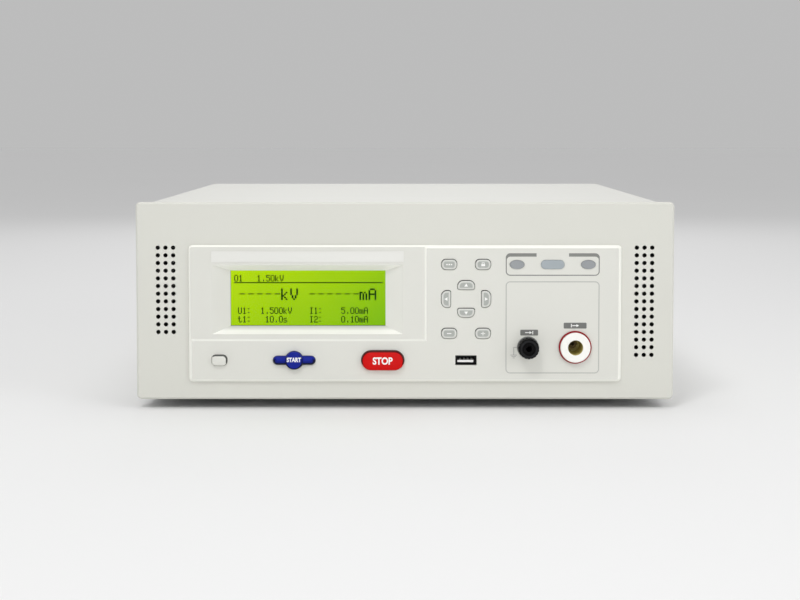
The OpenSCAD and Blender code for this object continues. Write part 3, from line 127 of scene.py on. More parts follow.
class TesterColours(PropertyGroup):
    """Colours of the tester's finishes."""

    panel: colour_prop("Panel", "Powder coat of the front panel", 217, 217, 209)
    cover: colour_prop("Cover", "Powder coat of the cover and rear panel", 222, 222, 216)
    fascia: colour_prop("Fascia", "Moulded fascia", 221, 221, 214)
    # Painted highlight: a paler copy of the fascia colour for its bevels and slopes, where light falls
    # on them
    fascia_edge: colour_prop("Fascia edge", "Bevels and slopes of the fascia", 250, 250, 243)
    # Painted light: a paler copy of the fascia colour for the slope right of the display, which faces
    # away from the fill lamp
    fascia_side: colour_prop("Fascia side", "Slope at the right of the display", 232, 232, 225)
    # Painted highlight: a paler copy of the fascia colour for the slope under the display zone
    fascia_step: colour_prop("Fascia step", "Slope under the display zone", 226, 226, 219)
    # Painted shade: a darker copy of the fascia colour for the slope next to the display, where the
    # recess shades it
    fascia_painted_shade: colour_prop("Fascia dull", "Slope of the fascia next to the display", 190, 190, 184)
    key: colour_prop("Key", "Key caps", 212, 213, 208)
    # Painted shade: dark upper walls of the key caps and of the power button, where the gap round them
    # lies in shadow
    key_rim: colour_prop("Key rim", "Upper walls of the key caps", 84, 86, 82)
    inlay: colour_prop("Inlay", "Oval inlay of a key", 171, 174, 169)
    mark: colour_prop("Mark", "White marks on keys, buttons and pads", 246, 246, 244)
    start: colour_prop("Start", "Start button", 14, 32, 142)
    # Painted shade: a darker copy of the start colour for its lower walls
    start_rim: colour_prop("Start rim", "Lower walls of the start button", 6, 9, 52)
    stop: colour_prop("Stop", "Stop button", 206, 6, 5)
    # Painted shade: a darker copy of the stop colour for its upper walls
    stop_rim: colour_prop("Stop rim", "Upper walls of the stop button", 84, 4, 5)
    display: colour_prop("Display", "Lit display", 184, 219, 8)
    display_edge: colour_prop("Display edge", "Lit display at its dim corner", 122, 182, 16)
    readout: colour_prop("Readout", "Dark dots of the display", 8, 62, 6)
    lamp: colour_prop("Lamp", "Unlit middle indicator lens", 158, 167, 172)
    side_lamp: colour_prop("Side lamp", "Unlit outer indicator lenses", 146, 150, 153)
    pad: colour_prop("Pad", "Grey pads over the terminals", 112, 113, 110)
    lamp_frame: colour_prop("Lamp frame", "Grey frame round the lamps", 130, 131, 127)
    output_frame: colour_prop("Output frame", "Pale frame round the terminals", 186, 187, 182)
    ring: colour_prop("Ring", "Ring of the output", 150, 14, 28)
    insulator: colour_prop("Insulator", "Output insulator", 248, 247, 242)
    floor: colour_prop("Floor", "Studio floor", 240, 240, 240)


class TesterSizes(PropertyGroup):
    """Sizes of the tester's fine detail."""

    edge: length_prop("Edge", "Rounding of moulded edges", 0.35)
    sheet_edge: length_prop("Sheet edge", "Rounding of sheet metal edges", 0.25)
    film: length_prop("Film", "Thickness of printed marks", 0.06)
    window_w: length_prop("Window width", "Width of the display opening", 104)
    window_h: length_prop("Window height", "Height of the display opening", 37.2)
    dot: length_prop("Dot", "Pitch of the display dots", 0.51)
    bleed: length_prop("Bleed", "Widening of the display's dark strokes", 0.18)
    frame_line: length_prop("Frame line", "Line width of the printed frames", 0.7)
    lamp_frame: outline_prop("Lamp frame", "the frame round the lamps", 62.7, 15.1, 3.0)
    output_frame: outline_prop("Output frame", "the frame round the terminals", 62.7, 61.9, 3.0)
    power: outline_prop("Power", "the power button", 10.1, 7.0, 2.73)
    start_disc: length_prop("Start disc", "Radius of the start button's disc", 6.0)
    start_bar: outline_prop("Start bar", "the start button's bar", 28.0, 5.6, 2.8)
    stop: outline_prop("Stop", "the stop button", 28.4, 13.0, 6.5)
    key: outline_prop("Key", "a key with a sign", 10.1, 6.9, 2.84)
    arrow: outline_prop("Arrow", "an arrow key", 11.3, 6.1, 3.65)
    arrow_foot: length_prop("Arrow foot", "Radius of an arrow key's inner corners", 1.3)


class StageSettings(PropertyGroup):
    """Camera and lamps."""

    distance: length_prop("Distance", "Camera to panel face", 1121)
    height: length_prop("Height", "Camera above the lower edge of the panel", 182.5)
    focal: FloatProperty(
        name="Focal", description="Focal length in pixels", subtype="PIXEL", default=1681)
    tilt: FloatProperty(
        name="Tilt", description="Downward tilt of the camera", subtype="ANGLE",
        default=math.radians(3.16))
    centre: FloatProperty(
        name="Centre", description="Pixel column of the panel's middle", subtype="PIXEL", default=405)
    rise: FloatProperty(
        name="Rise", description="Lens shift as a share of the width", subtype="FACTOR", default=-0.1)
    key_light: power_prop("Key light", "Watts of the main lamp", 7.8)
    fill_light: power_prop("Fill light", "Watts of the lamp at the right", 5.2)
    low_light: power_prop("Low light", "Watts of the lamp behind the camera", 0.08)
    top_light: power_prop("Top light", "Watts of the overhead lamp", 4.7)
    back_light: power_prop("Back light", "Watts of the lamp at the rear", 3)
    ambient: FloatProperty(
        name="Ambient", description="Strength of the surroundings", subtype="FACTOR", default=0.58)


def colour(name):
    """One of the colours of the current scene."""
    return tuple(getattr(bpy.context.scene.tester_colours, name))


def sizes():
    """Fine sizes of the current scene."""
    return bpy.context.scene.tester_sizes


class Value:
    """A shader socket that takes part in Python arithmetic."""

    def __init__(self, nodes, socket):
        self.nodes = nodes
        self.socket = socket

    def math(self, operation, first, second):
        """Adds one Math node."""
        return self.nodes.add("ShaderNodeMath", {"operation": operation}, {0: first, 1: second})

    def __add__(self, other):
        return self.math("ADD", self, other)

    __radd__ = __add__

    def __sub__(self, other):
        return self.math("SUBTRACT", self, other)

    def __rsub__(self, other):
        return self.math("SUBTRACT", other, self)

    def __mul__(self, other):
        return self.math("MULTIPLY", self, other)

    __rmul__ = __mul__


class Nodes:
    """A node tree that is built up from values."""

    def __init__(self, tree):
        self.tree = tree

    def feed(self, socket, value):
        """Sets a socket to a number or colour, or links it to a value."""
        if isinstance(value, Value):
            self.tree.links.new(value.socket, socket)
        elif socket.type == "RGBA":
            socket.default_value = (*value, 1)
        else:
            socket.default_value = value

    def add(self, kind, settings=None, sockets=None, output=0):
        """Adds a node with its settings first, then its sockets, and returns an output."""
        node = self.tree.nodes.new(kind)
        for label, value in (settings or {}).items():
            setattr(node, label, value)
        for label, value in (sockets or {}).items():
            self.feed(node.inputs[label], value)
        return Value(self, node.outputs[output])


class Finish(Nodes):
    """One material, built node by node round its Principled shader."""

    def __init__(self, name, sockets=None):
        self.material = bpy.data.materials.new(name)
        self.material.use_nodes = True
        super().__init__(self.material.node_tree)
        self.surface = self.tree.nodes["Principled BSDF"]
        for label, value in (sockets or {}).items():
            self.set(label, value)

    def set(self, label, value):
        """Feeds a socket of the Principled shader."""
        self.feed(self.surface.inputs[label], value)

    def place(self):
        """Position in the piece's own frame, in metres."""
        return self.add("ShaderNodeTexCoord", output="Object")

    def axis(self, label):
        """One coordinate of that position."""
        return self.add("ShaderNodeSeparateXYZ", None, {0: self.place()}, label)

    def noise(self, scale, detail=2.0, roughness=0.5, place=None):
        """Smooth noise from 0 to 1."""
        return self.add("ShaderNodeTexNoise", None, {
            "Vector": place or self.place(), "Scale": scale, "Detail": detail,
            "Roughness": roughness}, "Fac")

    def bands(self, direction, scale, distortion):
        """Wavy bands from 0 to 1 along an axis."""
        return self.add("ShaderNodeTexWave", {"bands_direction": direction}, {
            "Vector": self.place(), "Scale": scale, "Distortion": distortion}, "Fac")

    def blend(self, first, second, factor):
        """Mix of two colours."""
        return self.add("ShaderNodeMix", {"data_type": "RGBA"}, {0: factor, 6: first, 7: second}, 2)

    def mottle(self, tint, dark, light, factor):
        """Feeds the base colour with a tint that goes from one shade to another."""
        self.set("Base Color", self.blend(shade(tint, dark), shade(tint, light), factor))

    def bump(self, height, strength, distance):
        """Feeds the normal from a height."""
        self.set("Normal", self.add("ShaderNodeBump", None, {
            "Strength": strength, "Distance": distance, "Height": height}, "Normal"))

    def spark(self, roughness):
        """Adds the fine spark texture of a mould."""
        grain = self.noise(3200)
        self.set("Roughness", roughness - 0.05 + 0.10 * grain)
        self.bump(grain, 0.08, 0.04 * MM)


def shade(tint, amount):
    """A colour made lighter or darker."""
    return tuple(min(1.0, part * amount) for part in tint)


FINISHES = {}


def finish_once(make):
    """Makes each material once, by its name."""
    @functools.wraps(make)
    def kept(name, *rest, **more):
        if name not in FINISHES:
            FINISHES[name] = make(name, *rest, **more).material
        return FINISHES[name]
    return kept


@finish_once
def powder_coat(name, tint):
    """Fine matt powder coat with a slight orange peel."""
    f = Finish(name)
    grain = f.noise(2600, 3)
    peel = f.noise(420)
    cloud = f.noise(11)
    f.mottle(tint, 0.975, 1.02, cloud)
    f.set("Roughness", 0.40 + 0.10 * grain + 0.06 * cloud)
    f.bump(0.6 * grain + 0.4 * peel, 0.10, 0.06 * MM)
    return f


@finish_once
def moulded(name, tint, roughness=0.42):
    """Moulded plastic with a fine spark texture."""
    f = Finish(name)
    f.mottle(tint, 0.98, 1.015, f.noise(16))
    f.spark(roughness)
    return f


@finish_once
def shade_graded(name, tint, shaded_tint, low, high):
    """Moulded plastic with painted shade, its colour going from one tint to a darker one between two
    heights.
    """
    f = Finish(name)
    rise = f.add("ShaderNodeMapRange", None, {"Value": f.axis("Z"), "From Min": low, "From Max": high})
    f.set("Base Color", f.blend(tint, shaded_tint, rise))
    f.spark(0.42)
    return f


@finish_once
def gloss(name, tint, roughness=0.22, coat=0.25, specular=0.5):
    """Smooth glossy plastic with faint handling marks."""
    f = Finish(name, {"Coat Weight": coat, "Coat Roughness": 0.1, "Specular IOR Level": specular})
    f.mottle(tint, 0.94, 1.05, f.noise(60, 3))
    f.set("Roughness", roughness - 0.04 + 0.10 * f.noise(700, 4, 0.7))
    f.bump(f.noise(500), 0.03, 0.03 * MM)
    return f


@finish_once
def plated(name, tint, roughness=0.3):
    """Plated or drawn metal with fine lines along one way."""
    f = Finish(name, {"Metallic": 1.0})
    stretch = f.add("ShaderNodeMapping", None, {"Vector": f.place(), "Scale": (1, 0.04, 1)}, "Vector")
    line = f.noise(900, 4, place=stretch)
    f.mottle(tint, 0.9, 1.06, f.noise(40, 3))
    f.set("Roughness", roughness - 0.06 + 0.14 * line)
    f.bump(line, 0.06, 0.03 * MM)
    return f


@finish_once
def rubber(name, tint):
    """Matt rubber, dusty in its hollows."""
    f = Finish(name)
    dust = f.noise(120, 4)
    f.mottle(tint, 1.0, 2.2, dust)
    f.set("Roughness", 0.72 + 0.2 * dust)
    f.bump(f.noise(1500, 3), 0.2, 0.08 * MM)
    return f


@finish_once
def board(name, tint):
    """Circuit board lacquer with the relief of its tracks."""
    f = Finish(name, {"Roughness": 0.35})
    tracks = f.add("ShaderNodeTexBrick", {"offset": 0.5, "squash": 1.0}, {
        "Vector": f.place(), "Scale": 180.0, "Mortar Size": 0.06, "Color1": shade(tint, 0.8),
        "Color2": shade(tint, 1.15), "Mortar": shade(tint, 1.7)}, "Color")
    f.set("Base Color", tracks)
    f.bump(f.noise(300), 0.08, 0.1 * MM)
    return f


@finish_once
def winding(name, tint):
    """Turns of lacquered wire, drawn as fine ribs."""
    f = Finish(name, {"Roughness": 0.35, "Metallic": 0.6})
    turns = f.bands("Z", 180.0, 0.6)
    f.mottle(tint, 0.55, 1.0, turns)
    f.bump(turns, 0.5, 0.3 * MM)
    return f


@finish_once
def laminated(name, tint):
    """Edge of a stack of steel sheets."""
    f = Finish(name, {"Metallic": 0.7})
    sheets = f.bands("Y", 320.0, 0.2)
    f.mottle(tint, 0.6, 1.0, sheets)
    f.bump(sheets, 0.4, 0.2 * MM)
    return f


@finish_once
def lit_display(name, bright, dim, low, high):
    """Backlit display glass, brightest towards its upper left."""
    f = Finish(name, {"Emission Strength": 1.0, "Specular IOR Level": 0.02})
    wide = 1 / (high.x - low.x)
    tall = 1 / (high.z - low.z)
    fade = 0.62 * wide * (f.axis("X") - low.x) + 0.38 * tall * (high.z - f.axis("Z"))
    cloud = 0.2 * f.noise(45, 1) - 0.12
    glow = f.add("ShaderNodeMath", {"operation": "ADD", "use_clamp": True}, {0: fade, 1: cloud})
    f.set("Base Color", f.blend(shade(bright, 0.02), shade(dim, 0.02), glow))
    f.set("Emission Color", f.blend(bright, dim, glow))
    return f


@finish_once
def clear_sheet(name):
    """Clear acrylic sheet, marked a little by wiping."""
    f = Finish(name, {"Transmission Weight": 1.0, "IOR": 1.12, "Base Color": (0.97, 1.0, 0.97)})
    f.set("Roughness", 0.01 + 0.03 * f.noise(30, 3))
    return f


@finish_once
def studio(name, tint):
    """Pale matt floor, not quite even."""
    f = Finish(name, {"Roughness": 0.9})
    f.mottle(tint, 0.985, 1.0, f.noise(1.5))
    return f


def mark_white():
    """White print of the marks and legends."""
    return moulded("mark_white", colour("mark"), 0.4)


def paint(material, *nodes):
    """Gives carried over solids their material."""
    for node in nodes:
        mesh = NODES[node].data
        mesh.materials.clear()
        mesh.materials.append(material)


def paint_faces(solid, material, chosen):
    """Gives a further material to the faces that a test of their middle and normal picks."""
    mesh = solid.data
    mesh.materials.append(material)
    for face in mesh.polygons:
        if chosen(face.center, face.normal):
            face.material_index = len(mesh.materials) - 1


def sloped(normal):
    """Test for a face that leans back from the panel and isn't a wall."""
    return -0.97 < normal.y < -0.25


def rim(direction, least=0.2, flattest=-0.72):
    """Test for the wall and edge of a cap, on the sides that face a direction, where painted shade goes.
    """
    def chosen(place, normal):
        return normal.y > flattest and normal.dot(direction) > least
    return chosen


def soften(node, width, segments=2, flat=False):
    """Rounds the sharp edges of a carried over solid, after joining its flat faces if asked."""
    solid = NODES[node]
    weld = solid.modifiers.new("weld", "WELD")
    weld.merge_threshold = 0.002 * MM
    if flat:
        join = solid.modifiers.new("join", "DECIMATE")
        join.decimate_type = "DISSOLVE"
        join.angle_limit = math.radians(0.5)
    bevel = solid.modifiers.new("round", "BEVEL")
    bevel.width = width
    bevel.segments = segments
    bevel.limit_method = "ANGLE"
    bevel.angle_limit = SHARP
    bevel.harden_normals = True
    bevel.use_clamp_overlap = True
    bevel.miter_outer = "MITER_ARC"


def keep_piece(name, mesh, material, body=CHASSIS, smooth=FLAT_SMOOTH):
    """Puts a new mesh in the scene, on its body."""
    mesh.materials.append(material)
    mesh.shade_smooth()
    mesh.set_sharp_from_angle(angle=math.radians(smooth))
    piece = bpy.data.objects.new(name, mesh)
    bpy.context.collection.objects.link(piece)
    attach(piece, body)
    return piece


def keep_shape(name, shape, material, body=CHASSIS, smooth=FLAT_SMOOTH):
    """Turns a bmesh into a piece with its faces outward."""
    bmesh.ops.recalc_face_normals(shape, faces=shape.faces)
    mesh = bpy.data.meshes.new(name)
    shape.to_mesh(mesh)
    shape.free()
    return keep_piece(name, mesh, material, body, smooth)


def rounded(w, h, high, low=None, steps=7):
    """Points round a rectangle with one radius for its upper corners and one for its lower ones."""
    low = high if low is None else low
    high = max(high, LEAST_RADIUS)
    low = max(low, LEAST_RADIUS)
    corners = (
        (w / 2 - high, h / 2 - high, high, 0), (-w / 2 + high, h / 2 - high, high, 90),
        (-w / 2 + low, -h / 2 + low, low, 180), (w / 2 - low, -h / 2 + low, low, 270))
    points = []
    for x, z, radius, start in corners:
        for step in range(steps + 1):
            a = math.radians(start + 90 * step / steps)
            points.append((x + radius * math.cos(a), z + radius * math.sin(a)))
    return points


def stroke(w, h, radius=0.1 * MM):
    """Points round a short printed stroke."""
    return rounded(w, h, radius, steps=2)


def disc(radius, steps=40):
    """Points round a circle."""
    angles = [2 * math.pi * step / steps for step in range(steps)]
    return [(radius * math.cos(a), radius * math.sin(a)) for a in angles]


def turned(points, degrees):
    """Outline turned about its middle."""
    a = math.radians(degrees)
    return [(x * math.cos(a) - z * math.sin(a), x * math.sin(a) + z * math.cos(a)) for x, z in points]


def slab(w, h, radius, steps=7):
    """Rounded rectangle as a function of its inset."""
    return lambda d: rounded(w - 2 * d, h - 2 * d, radius - d, steps=steps)


def front_ring(outline, centre, y):
    """An outline set on the plane of the panel, at a depth."""
    return [(centre.x + x, y, centre.z + z) for x, z in outline]


def loft(shape, rings):
    """Adds a skin through rings of points in space to a bmesh, and closes its ends."""
    rows = [[shape.verts.new(point) for point in ring] for ring in rings]
    count = len(rows[0])
    for near, far in zip(rows, rows[1:]):
        for i in range(count):
            j = (i + 1) % count
            shape.faces.new((near[i], near[j], far[j], far[i]))
    shape.faces.new(rows[-1])
    shape.faces.new(list(reversed(rows[0])))


def keep_print(name, plates, back, material, body=CHASSIS, thickness=None):
    """Makes one piece of thin plates, each an outline and its centre, that lie before a depth."""
    front = back - (thickness or sizes().film)
    shape = bmesh.new()
    for outline, centre in plates:
        loft(shape, [front_ring(outline, centre, back), front_ring(outline, centre, front)])
    return keep_shape(name, shape, material, body)


def film_band(shape, outer, inner, centre, back, thickness, closed=True):
    """Adds a thin band between two lines with as many points, closed or with two ends."""
    front = back - thickness
    rows = [[shape.verts.new(p) for p in front_ring(line, centre, y)]
            for line, y in ((outer, back), (outer, front), (inner, front), (inner, back))]
    count = len(outer)
    for near, far in zip(rows, rows[1:] + rows[:1]):
        for i in range(count if closed else count - 1):
            j = (i + 1) % count
            shape.faces.new((near[i], near[j], far[j], far[i]))
    if not closed:
        for end in (0, -1):
            shape.faces.new([row[end] for row in rows])


def crowned(shape, outline, centre, back, front, edge, crown, reach):
    """Adds a button cap: straight wall, rounded edge and slightly domed top.

    outline gives the points for an inset, and reach is the largest inset."""
    rings = [front_ring(outline(0), centre, back)]
    steps = 6
    for step in range(steps + 1):
        a = math.radians(90 * step / steps)
        inset = edge * (1 - math.cos(a))
        rings.append(front_ring(outline(inset), centre, front + crown + edge * (1 - math.sin(a))))
    for share in (0.25, 0.5, 0.75, 1.0):
        inset = edge + (reach - edge) * share
        lift = crown * (1 - (1 - share) ** 2)
        rings.append(front_ring(outline(inset), centre, front + crown - lift))
    loft(shape, rings)


def middle(node):
    """Centre of a solid's box."""
    low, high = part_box(node)
    return (low + high) / 2


def front_of(node):
    """Depth of a solid's foremost point."""
    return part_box(node)[0].y


def cap_back(node):
    """Depth of the back of a button's cap."""
    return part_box(node)[1].y - CAP_INSET


def lettering(name, words, wide, tall, centre, back, thickness, weight, material, body):
    """Flat raised letters that face the front and fill a box."""
    line = bpy.data.curves.new(name, "FONT")
    line.body = words
    line.size = tall
    line.offset = weight
    line.extrude = thickness / 2
    line.resolution_u = 4
    carrier = bpy.data.objects.new(name + "_line", line)
    bpy.context.collection.objects.link(carrier)
    bpy.context.view_layer.update()
    shown = carrier.evaluated_get(bpy.context.evaluated_depsgraph_get())
    mesh = bpy.data.meshes.new_from_object(shown)
    bpy.data.objects.remove(carrier)
    bpy.data.curves.remove(line)
    across = [v.co.x for v in mesh.vertices]
    up = [v.co.y for v in mesh.vertices]
    left, right, low, high = min(across), max(across), min(up), max(up)
    for v in mesh.vertices:
        x, y, z = v.co
        v.co = (centre.x + ((x - left) / (right - left) - 0.5) * wide, back - thickness / 2 - z,
                centre.z + ((y - low) / (high - low) - 0.5) * tall)
    mesh.materials.clear()
    return keep_piece(name, mesh, material, body)


class TESTER_OT_stage(Operator):
    """Floor, lamps, surroundings and camera"""

    bl_idname = "tester.stage"
    bl_label = "Stage"

    def execute(self, context):
        settings = context.scene.tester_stage
        context.scene.view_settings.view_transform = "Standard"
        self.camera(context, settings)
        self.floor()
        self.surroundings(context, settings)
        panel = Vector((0, CAD_BOX[0].y, 0.07))
        cover = Vector((0, 0, 0.1))
        rear = Vector((0, 0.2, 0.07))
        self.lamp("key_lamp", Vector((-0.35, -1.25, 1.45)), panel, 0.45, settings.key_light)
        self.lamp("fill_lamp", Vector((1.25, -1.2, 0.7)), panel, 0.9, settings.fill_light)
        self.lamp("low_lamp", Vector((0.1, -2.2, 0.2)), panel, 0.5, settings.low_light, 24)
        self.lamp("top_lamp", Vector((0, 0.15, 1.7)), cover, 1.2, settings.top_light)
        self.lamp("back_lamp", Vector((0, 1.7, 1.0)), rear, 0.9, settings.back_light)
        return {"FINISHED"}

    def camera(self, context, settings):
        """Camera at the photograph's angle, with a little lens shift."""
        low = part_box("front_panel")[0]
        lens = bpy.data.cameras.new("camera")
        lens.sensor_width = SENSOR_WIDTH
        lens.lens = settings.focal * SENSOR_WIDTH / IMAGE_WIDTH
        lens.shift_y = settings.rise
        lens.shift_x = (IMAGE_WIDTH / 2 - settings.centre) / IMAGE_WIDTH
        lens.clip_start = 0.02
        lens.clip_end = 60
        camera = bpy.data.objects.new("camera", lens)
        camera.location = (0, low.y - settings.distance, low.z + settings.height)
        camera.rotation_euler = (math.pi / 2 - settings.tilt, 0, 0)
        context.collection.objects.link(camera)
        context.scene.camera = camera

    def floor(self):
        """Wide pale floor under the feet."""
        shape = bmesh.new()
        bmesh.ops.create_circle(shape, cap_ends=True, segments=96, radius=14)
        mesh = bpy.data.meshes.new("floor")
        shape.to_mesh(mesh)
        shape.free()
        mesh.materials.append(studio("studio_floor", colour("floor")))
        floor = bpy.data.objects.new("floor", mesh)
        floor.location.z = CAD_BOX[0].z
        bpy.context.collection.objects.link(floor)

    def surroundings(self, context, settings):
        """Soft light from all round, with a pale backdrop for the camera and for gloss."""
        world = bpy.data.worlds.new("studio")
        world.use_nodes = True
        tree = world.node_tree
        tree.nodes.remove(tree.nodes["Background"])
        nodes = Nodes(tree)
        sky = nodes.add("ShaderNodeBackground", None, {
            "Color": (1, 1, 1), "Strength": settings.ambient})
        backdrop = nodes.add("ShaderNodeBackground", None, {
            "Color": shade(colour("floor"), settings.ambient), "Strength": 1.0})
        kinds = ("Is Camera Ray", "Is Glossy Ray", "Is Transmission Ray")
        seen, mirrored, through = (nodes.add("ShaderNodeLightPath", output=kind) for kind in kinds)
        mix = nodes.add("ShaderNodeMixShader", None, {0: seen + mirrored + through, 1: sky, 2: backdrop})
        nodes.feed(tree.nodes["World Output"].inputs["Surface"], mix)
        context.scene.world = world

    def lamp(self, name, place, aim, size, watts, spread=180):
        """Square soft lamp aimed at a point, with its light kept within an angle."""
        light = bpy.data.lights.new(name, "AREA")
        light.size = size
        light.energy = watts
        light.spread = math.radians(spread)
        lamp = bpy.data.objects.new(name, light)
        lamp.location = place
        lamp.rotation_euler = (aim - place).to_track_quat("-Z", "Y").to_euler()
        bpy.context.collection.objects.link(lamp)


class TESTER_OT_case(Operator):
    """Panel, cover, tray, rear panel, feet and screws"""

    bl_idname = "tester.case"
    bl_label = "Case"

    def execute(self, context):
        paint(powder_coat("panel_coat", colour("panel")), "front_panel")
        cover = powder_coat("cover_coat", colour("cover"))
        paint(cover, "top_cover", "rear_panel")
        zinc = plated("zinc_sheet", rgb(186, 188, 186), 0.38)
        paint(zinc, "base_tray", "panel_brackets")
        paint(rubber("foot_rubber", rgb(34, 34, 34)), "feet")
        steel = plated("screw_steel", rgb(200, 201, 203), 0.28)
        paint(steel, "case_screws", "board_screws")
        self.darken_vents()
        soften("front_panel", sizes().edge)
        soften("top_cover", sizes().sheet_edge, flat=True)
        soften("feet", sizes().edge)
        soften("case_screws", sizes().sheet_edge)
        return {"FINISHED"}

    def darken_vents(self):
        """Painted shade: near black walls of the vent holes, which lie between the fascia and the
        panel's sides.
        """
        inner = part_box("fascia")[1].x + 3 * MM
        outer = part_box("front_panel")[1].x - 8 * MM

        def lines_vent(place, normal):
            return inner < abs(place.x) < outer and abs(normal.y) < 0.1

        # Painted shade on the walls of the vent holes
        paint_faces(NODES["front_panel"], moulded("vent_dark", rgb(8, 8, 8), 0.8), lines_vent)


class TESTER_OT_fascia(Operator):
    """Moulded fascia with its frames, pads and bare name strip"""

    bl_idname = "tester.fascia"
    bl_label = "Fascia"

    def execute(self, context):
        self.shell()
        paint(moulded("strip_film", rgb(229, 229, 224), 0.35), "name_strip")
        self.lamp_frame()
        self.output_frame()
        self.pads()
        self.earth_mark()
        return {"FINISHED"}

    def shell(self):
        """Moulded shell, with painted highlights on its bevels and slopes and painted shade on the slope
        under the display.
        """
        fascia = NODES["fascia"]
        low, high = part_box("lcd_glass")
        surround = 12 * MM

        # Faces that take the painted highlight: bevels and slopes, but not the slopes beside the display
        def takes_painted_highlight(place, normal):
            beside_display = low.x - surround < place.x < high.x + surround
            return sloped(normal) and not (beside_display and abs(normal.x) > LEAN)

        def right_of_display(place, normal):
            return sloped(normal) and normal.x < -LEAN and abs(place.x - high.x) < surround

        def steps_down(place, normal):
            return sloped(normal) and normal.z > LEAN and place.z < low.z - 2 * MM

        def under_display(place, normal):
            return sloped(normal) and normal.z > LEAN and abs(place.z - low.z) < 4 * MM

        # Painted highlight on the bevels and slopes, a paler copy of the fascia colour
        edge = colour("fascia_edge")
        # Painted shade on the slope under the display, going from the painted highlight to darker
        # towards the glass
        slope = shade_graded("fascia_slope", edge, colour("fascia_painted_shade"), low.z + MM, low.z + 4.2 * MM)
        paint(moulded("fascia_plastic", colour("fascia")), "fascia")
        paint_faces(fascia, moulded("fascia_edge", edge), takes_painted_highlight)
        # Painted light on the slope at the right of the display
        paint_faces(fascia, moulded("fascia_side", colour("fascia_side")), right_of_display)
        # Painted highlight on the step under the display zone
        paint_faces(fascia, moulded("fascia_step", colour("fascia_step")), steps_down)
        paint_faces(fascia, slope, under_display)
        soften("fascia", sizes().edge, 3)

    def lamp_frame(self):
        """Printed line round the indicator lamps, open at its top between two bars."""
        wide, tall, radius = sizes().lamp_frame
        gap = 21.6 * MM
        bar = 2.3 * MM
        steps = 7
        lines = []
        for inset, drop in ((0, 0), (sizes().frame_line, bar)):
            points = rounded(wide - 2 * inset, tall - inset - drop, radius - inset, steps=steps)
            points = points[steps + 1:] + points[:steps + 1]
            points = [(x, z + (inset - drop) / 2) for x, z in points]
            top = tall / 2 - drop
            lines.append([(-gap / 2, top)] + points + [(gap / 2, top)])
        outer, inner = lines
        shape = bmesh.new()
        back = front_of("fascia") + GROOVE
        film_band(shape, outer, inner, middle("lamp_lenses"), back, GROOVE, closed=False)
        keep_shape("indicator_frame", shape, moulded("frame_ink", colour("lamp_frame"), 0.5))

    def output_frame(self):
        """Fainter line round the terminals."""
        wide, tall, radius = sizes().output_frame
        line = sizes().frame_line
        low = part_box("fascia")[0].z + 5.7 * MM
        centre = Vector((middle("lamp_lenses").x, 0, low + tall / 2))
        outer = rounded(wide, tall, radius)
        inner = rounded(wide - 2 * line, tall - 2 * line, radius - line)
        shape = bmesh.new()
        film_band(shape, outer, inner, centre, front_of("fascia") + GROOVE, 0.7 * GROOVE)
        keep_shape("output_frame", shape, moulded("line_ink", colour("output_frame"), 0.5))

    def pads(self):
        """Grey pads over the two terminals, with plain arrow signs."""
        face = front_of("fascia")
        inward = middle("return_stud") + Vector((0.8 * MM, 0, 9.8 * MM))
        outward = middle("output_insulator") + Vector((0, 0, 14.5 * MM))
        tall = 3.9 * MM
        corner = 0.6 * MM
        pads = ((rounded(11.9 * MM, tall, corner), inward), (rounded(15.3 * MM, tall, corner), outward))
        keep_print("terminal_pads", pads, face, moulded("pad_ink", colour("pad"), 0.5))
        thin = 0.55 * MM
        half = 0.95 * MM
        shaft = stroke(3.0 * MM, thin)
        stop = stroke(thin, 2.3 * MM)
        head = [(0, -half), (1.7 * MM, 0), (0, half)]
        signs = []
        for pad, neck_x, stop_x in ((inward, 0.2 * MM, 2.2 * MM), (outward, 0.9 * MM, -3.4 * MM)):
            neck = pad + Vector((neck_x, 0, 0))
            signs.append((shaft, neck - Vector((1.4 * MM, 0, 0))))
            signs.append((head, neck))
            signs.append((stop, neck + Vector((stop_x, 0, 0))))
        keep_print("terminal_signs", signs, face - sizes().film, mark_white())

    def earth_mark(self):
        """Earth sign beside the return post: a bent line over three shorter and shorter ones."""
        mark = middle("return_stud") + Vector((-9.5 * MM, 0, -5.3 * MM))
        thin = 0.4 * MM
        stem = 5.2 * MM
        strokes = [(0, stem / 2, thin, stem), (1.0 * MM, stem, 2.2 * MM, thin)]
        for row, wide in enumerate((4.6 * MM, 3.0 * MM, 1.4 * MM)):
            strokes.append((0, -0.95 * MM * row, wide, thin))
        plates = [(stroke(w, h), mark + Vector((x, 0, z))) for x, z, w, h in strokes]
        ink = moulded("mark_ink", rgb(168, 169, 165), 0.5)
        keep_print("earth_mark", plates, front_of("fascia"), ink)


# Columns from one display character to the next
CELL = 6

GLYPHS = {
    "0": "01110 10001 10001 10001 10001 10001 01110",
    "1": "00100 01100 00100 00100 00100 00100 01110",
    "2": "01110 10001 00001 00110 01000 10000 11111",
    "5": "11111 10000 11110 00001 00001 10001 01110",
    ".": "00000 00000 00000 00000 00000 00100 00100",
    "k": "10000 10000 10010 10100 11000 10100 10010",
    "V": "10001 10001 10001 10001 01010 01010 00100",
    "m": "00000 00000 11010 10101 10101 10101 10101",
    "A": "01110 10001 10001 11111 10001 10001 10001",
    "s": "00000 00000 01110 10000 01110 00001 11110",
    "U": "10001 10001 10001 10001 10001 10001 01110",
    "I": "01110 00100 00100 00100 00100 00100 01110",
    "t": "01000 01000 11100 01000 01000 01001 00110",
    ":": "00000 01100 00000 00000 00000 01100 00000",
    " ": "00000 00000 00000 00000 00000 00000 00000",
}


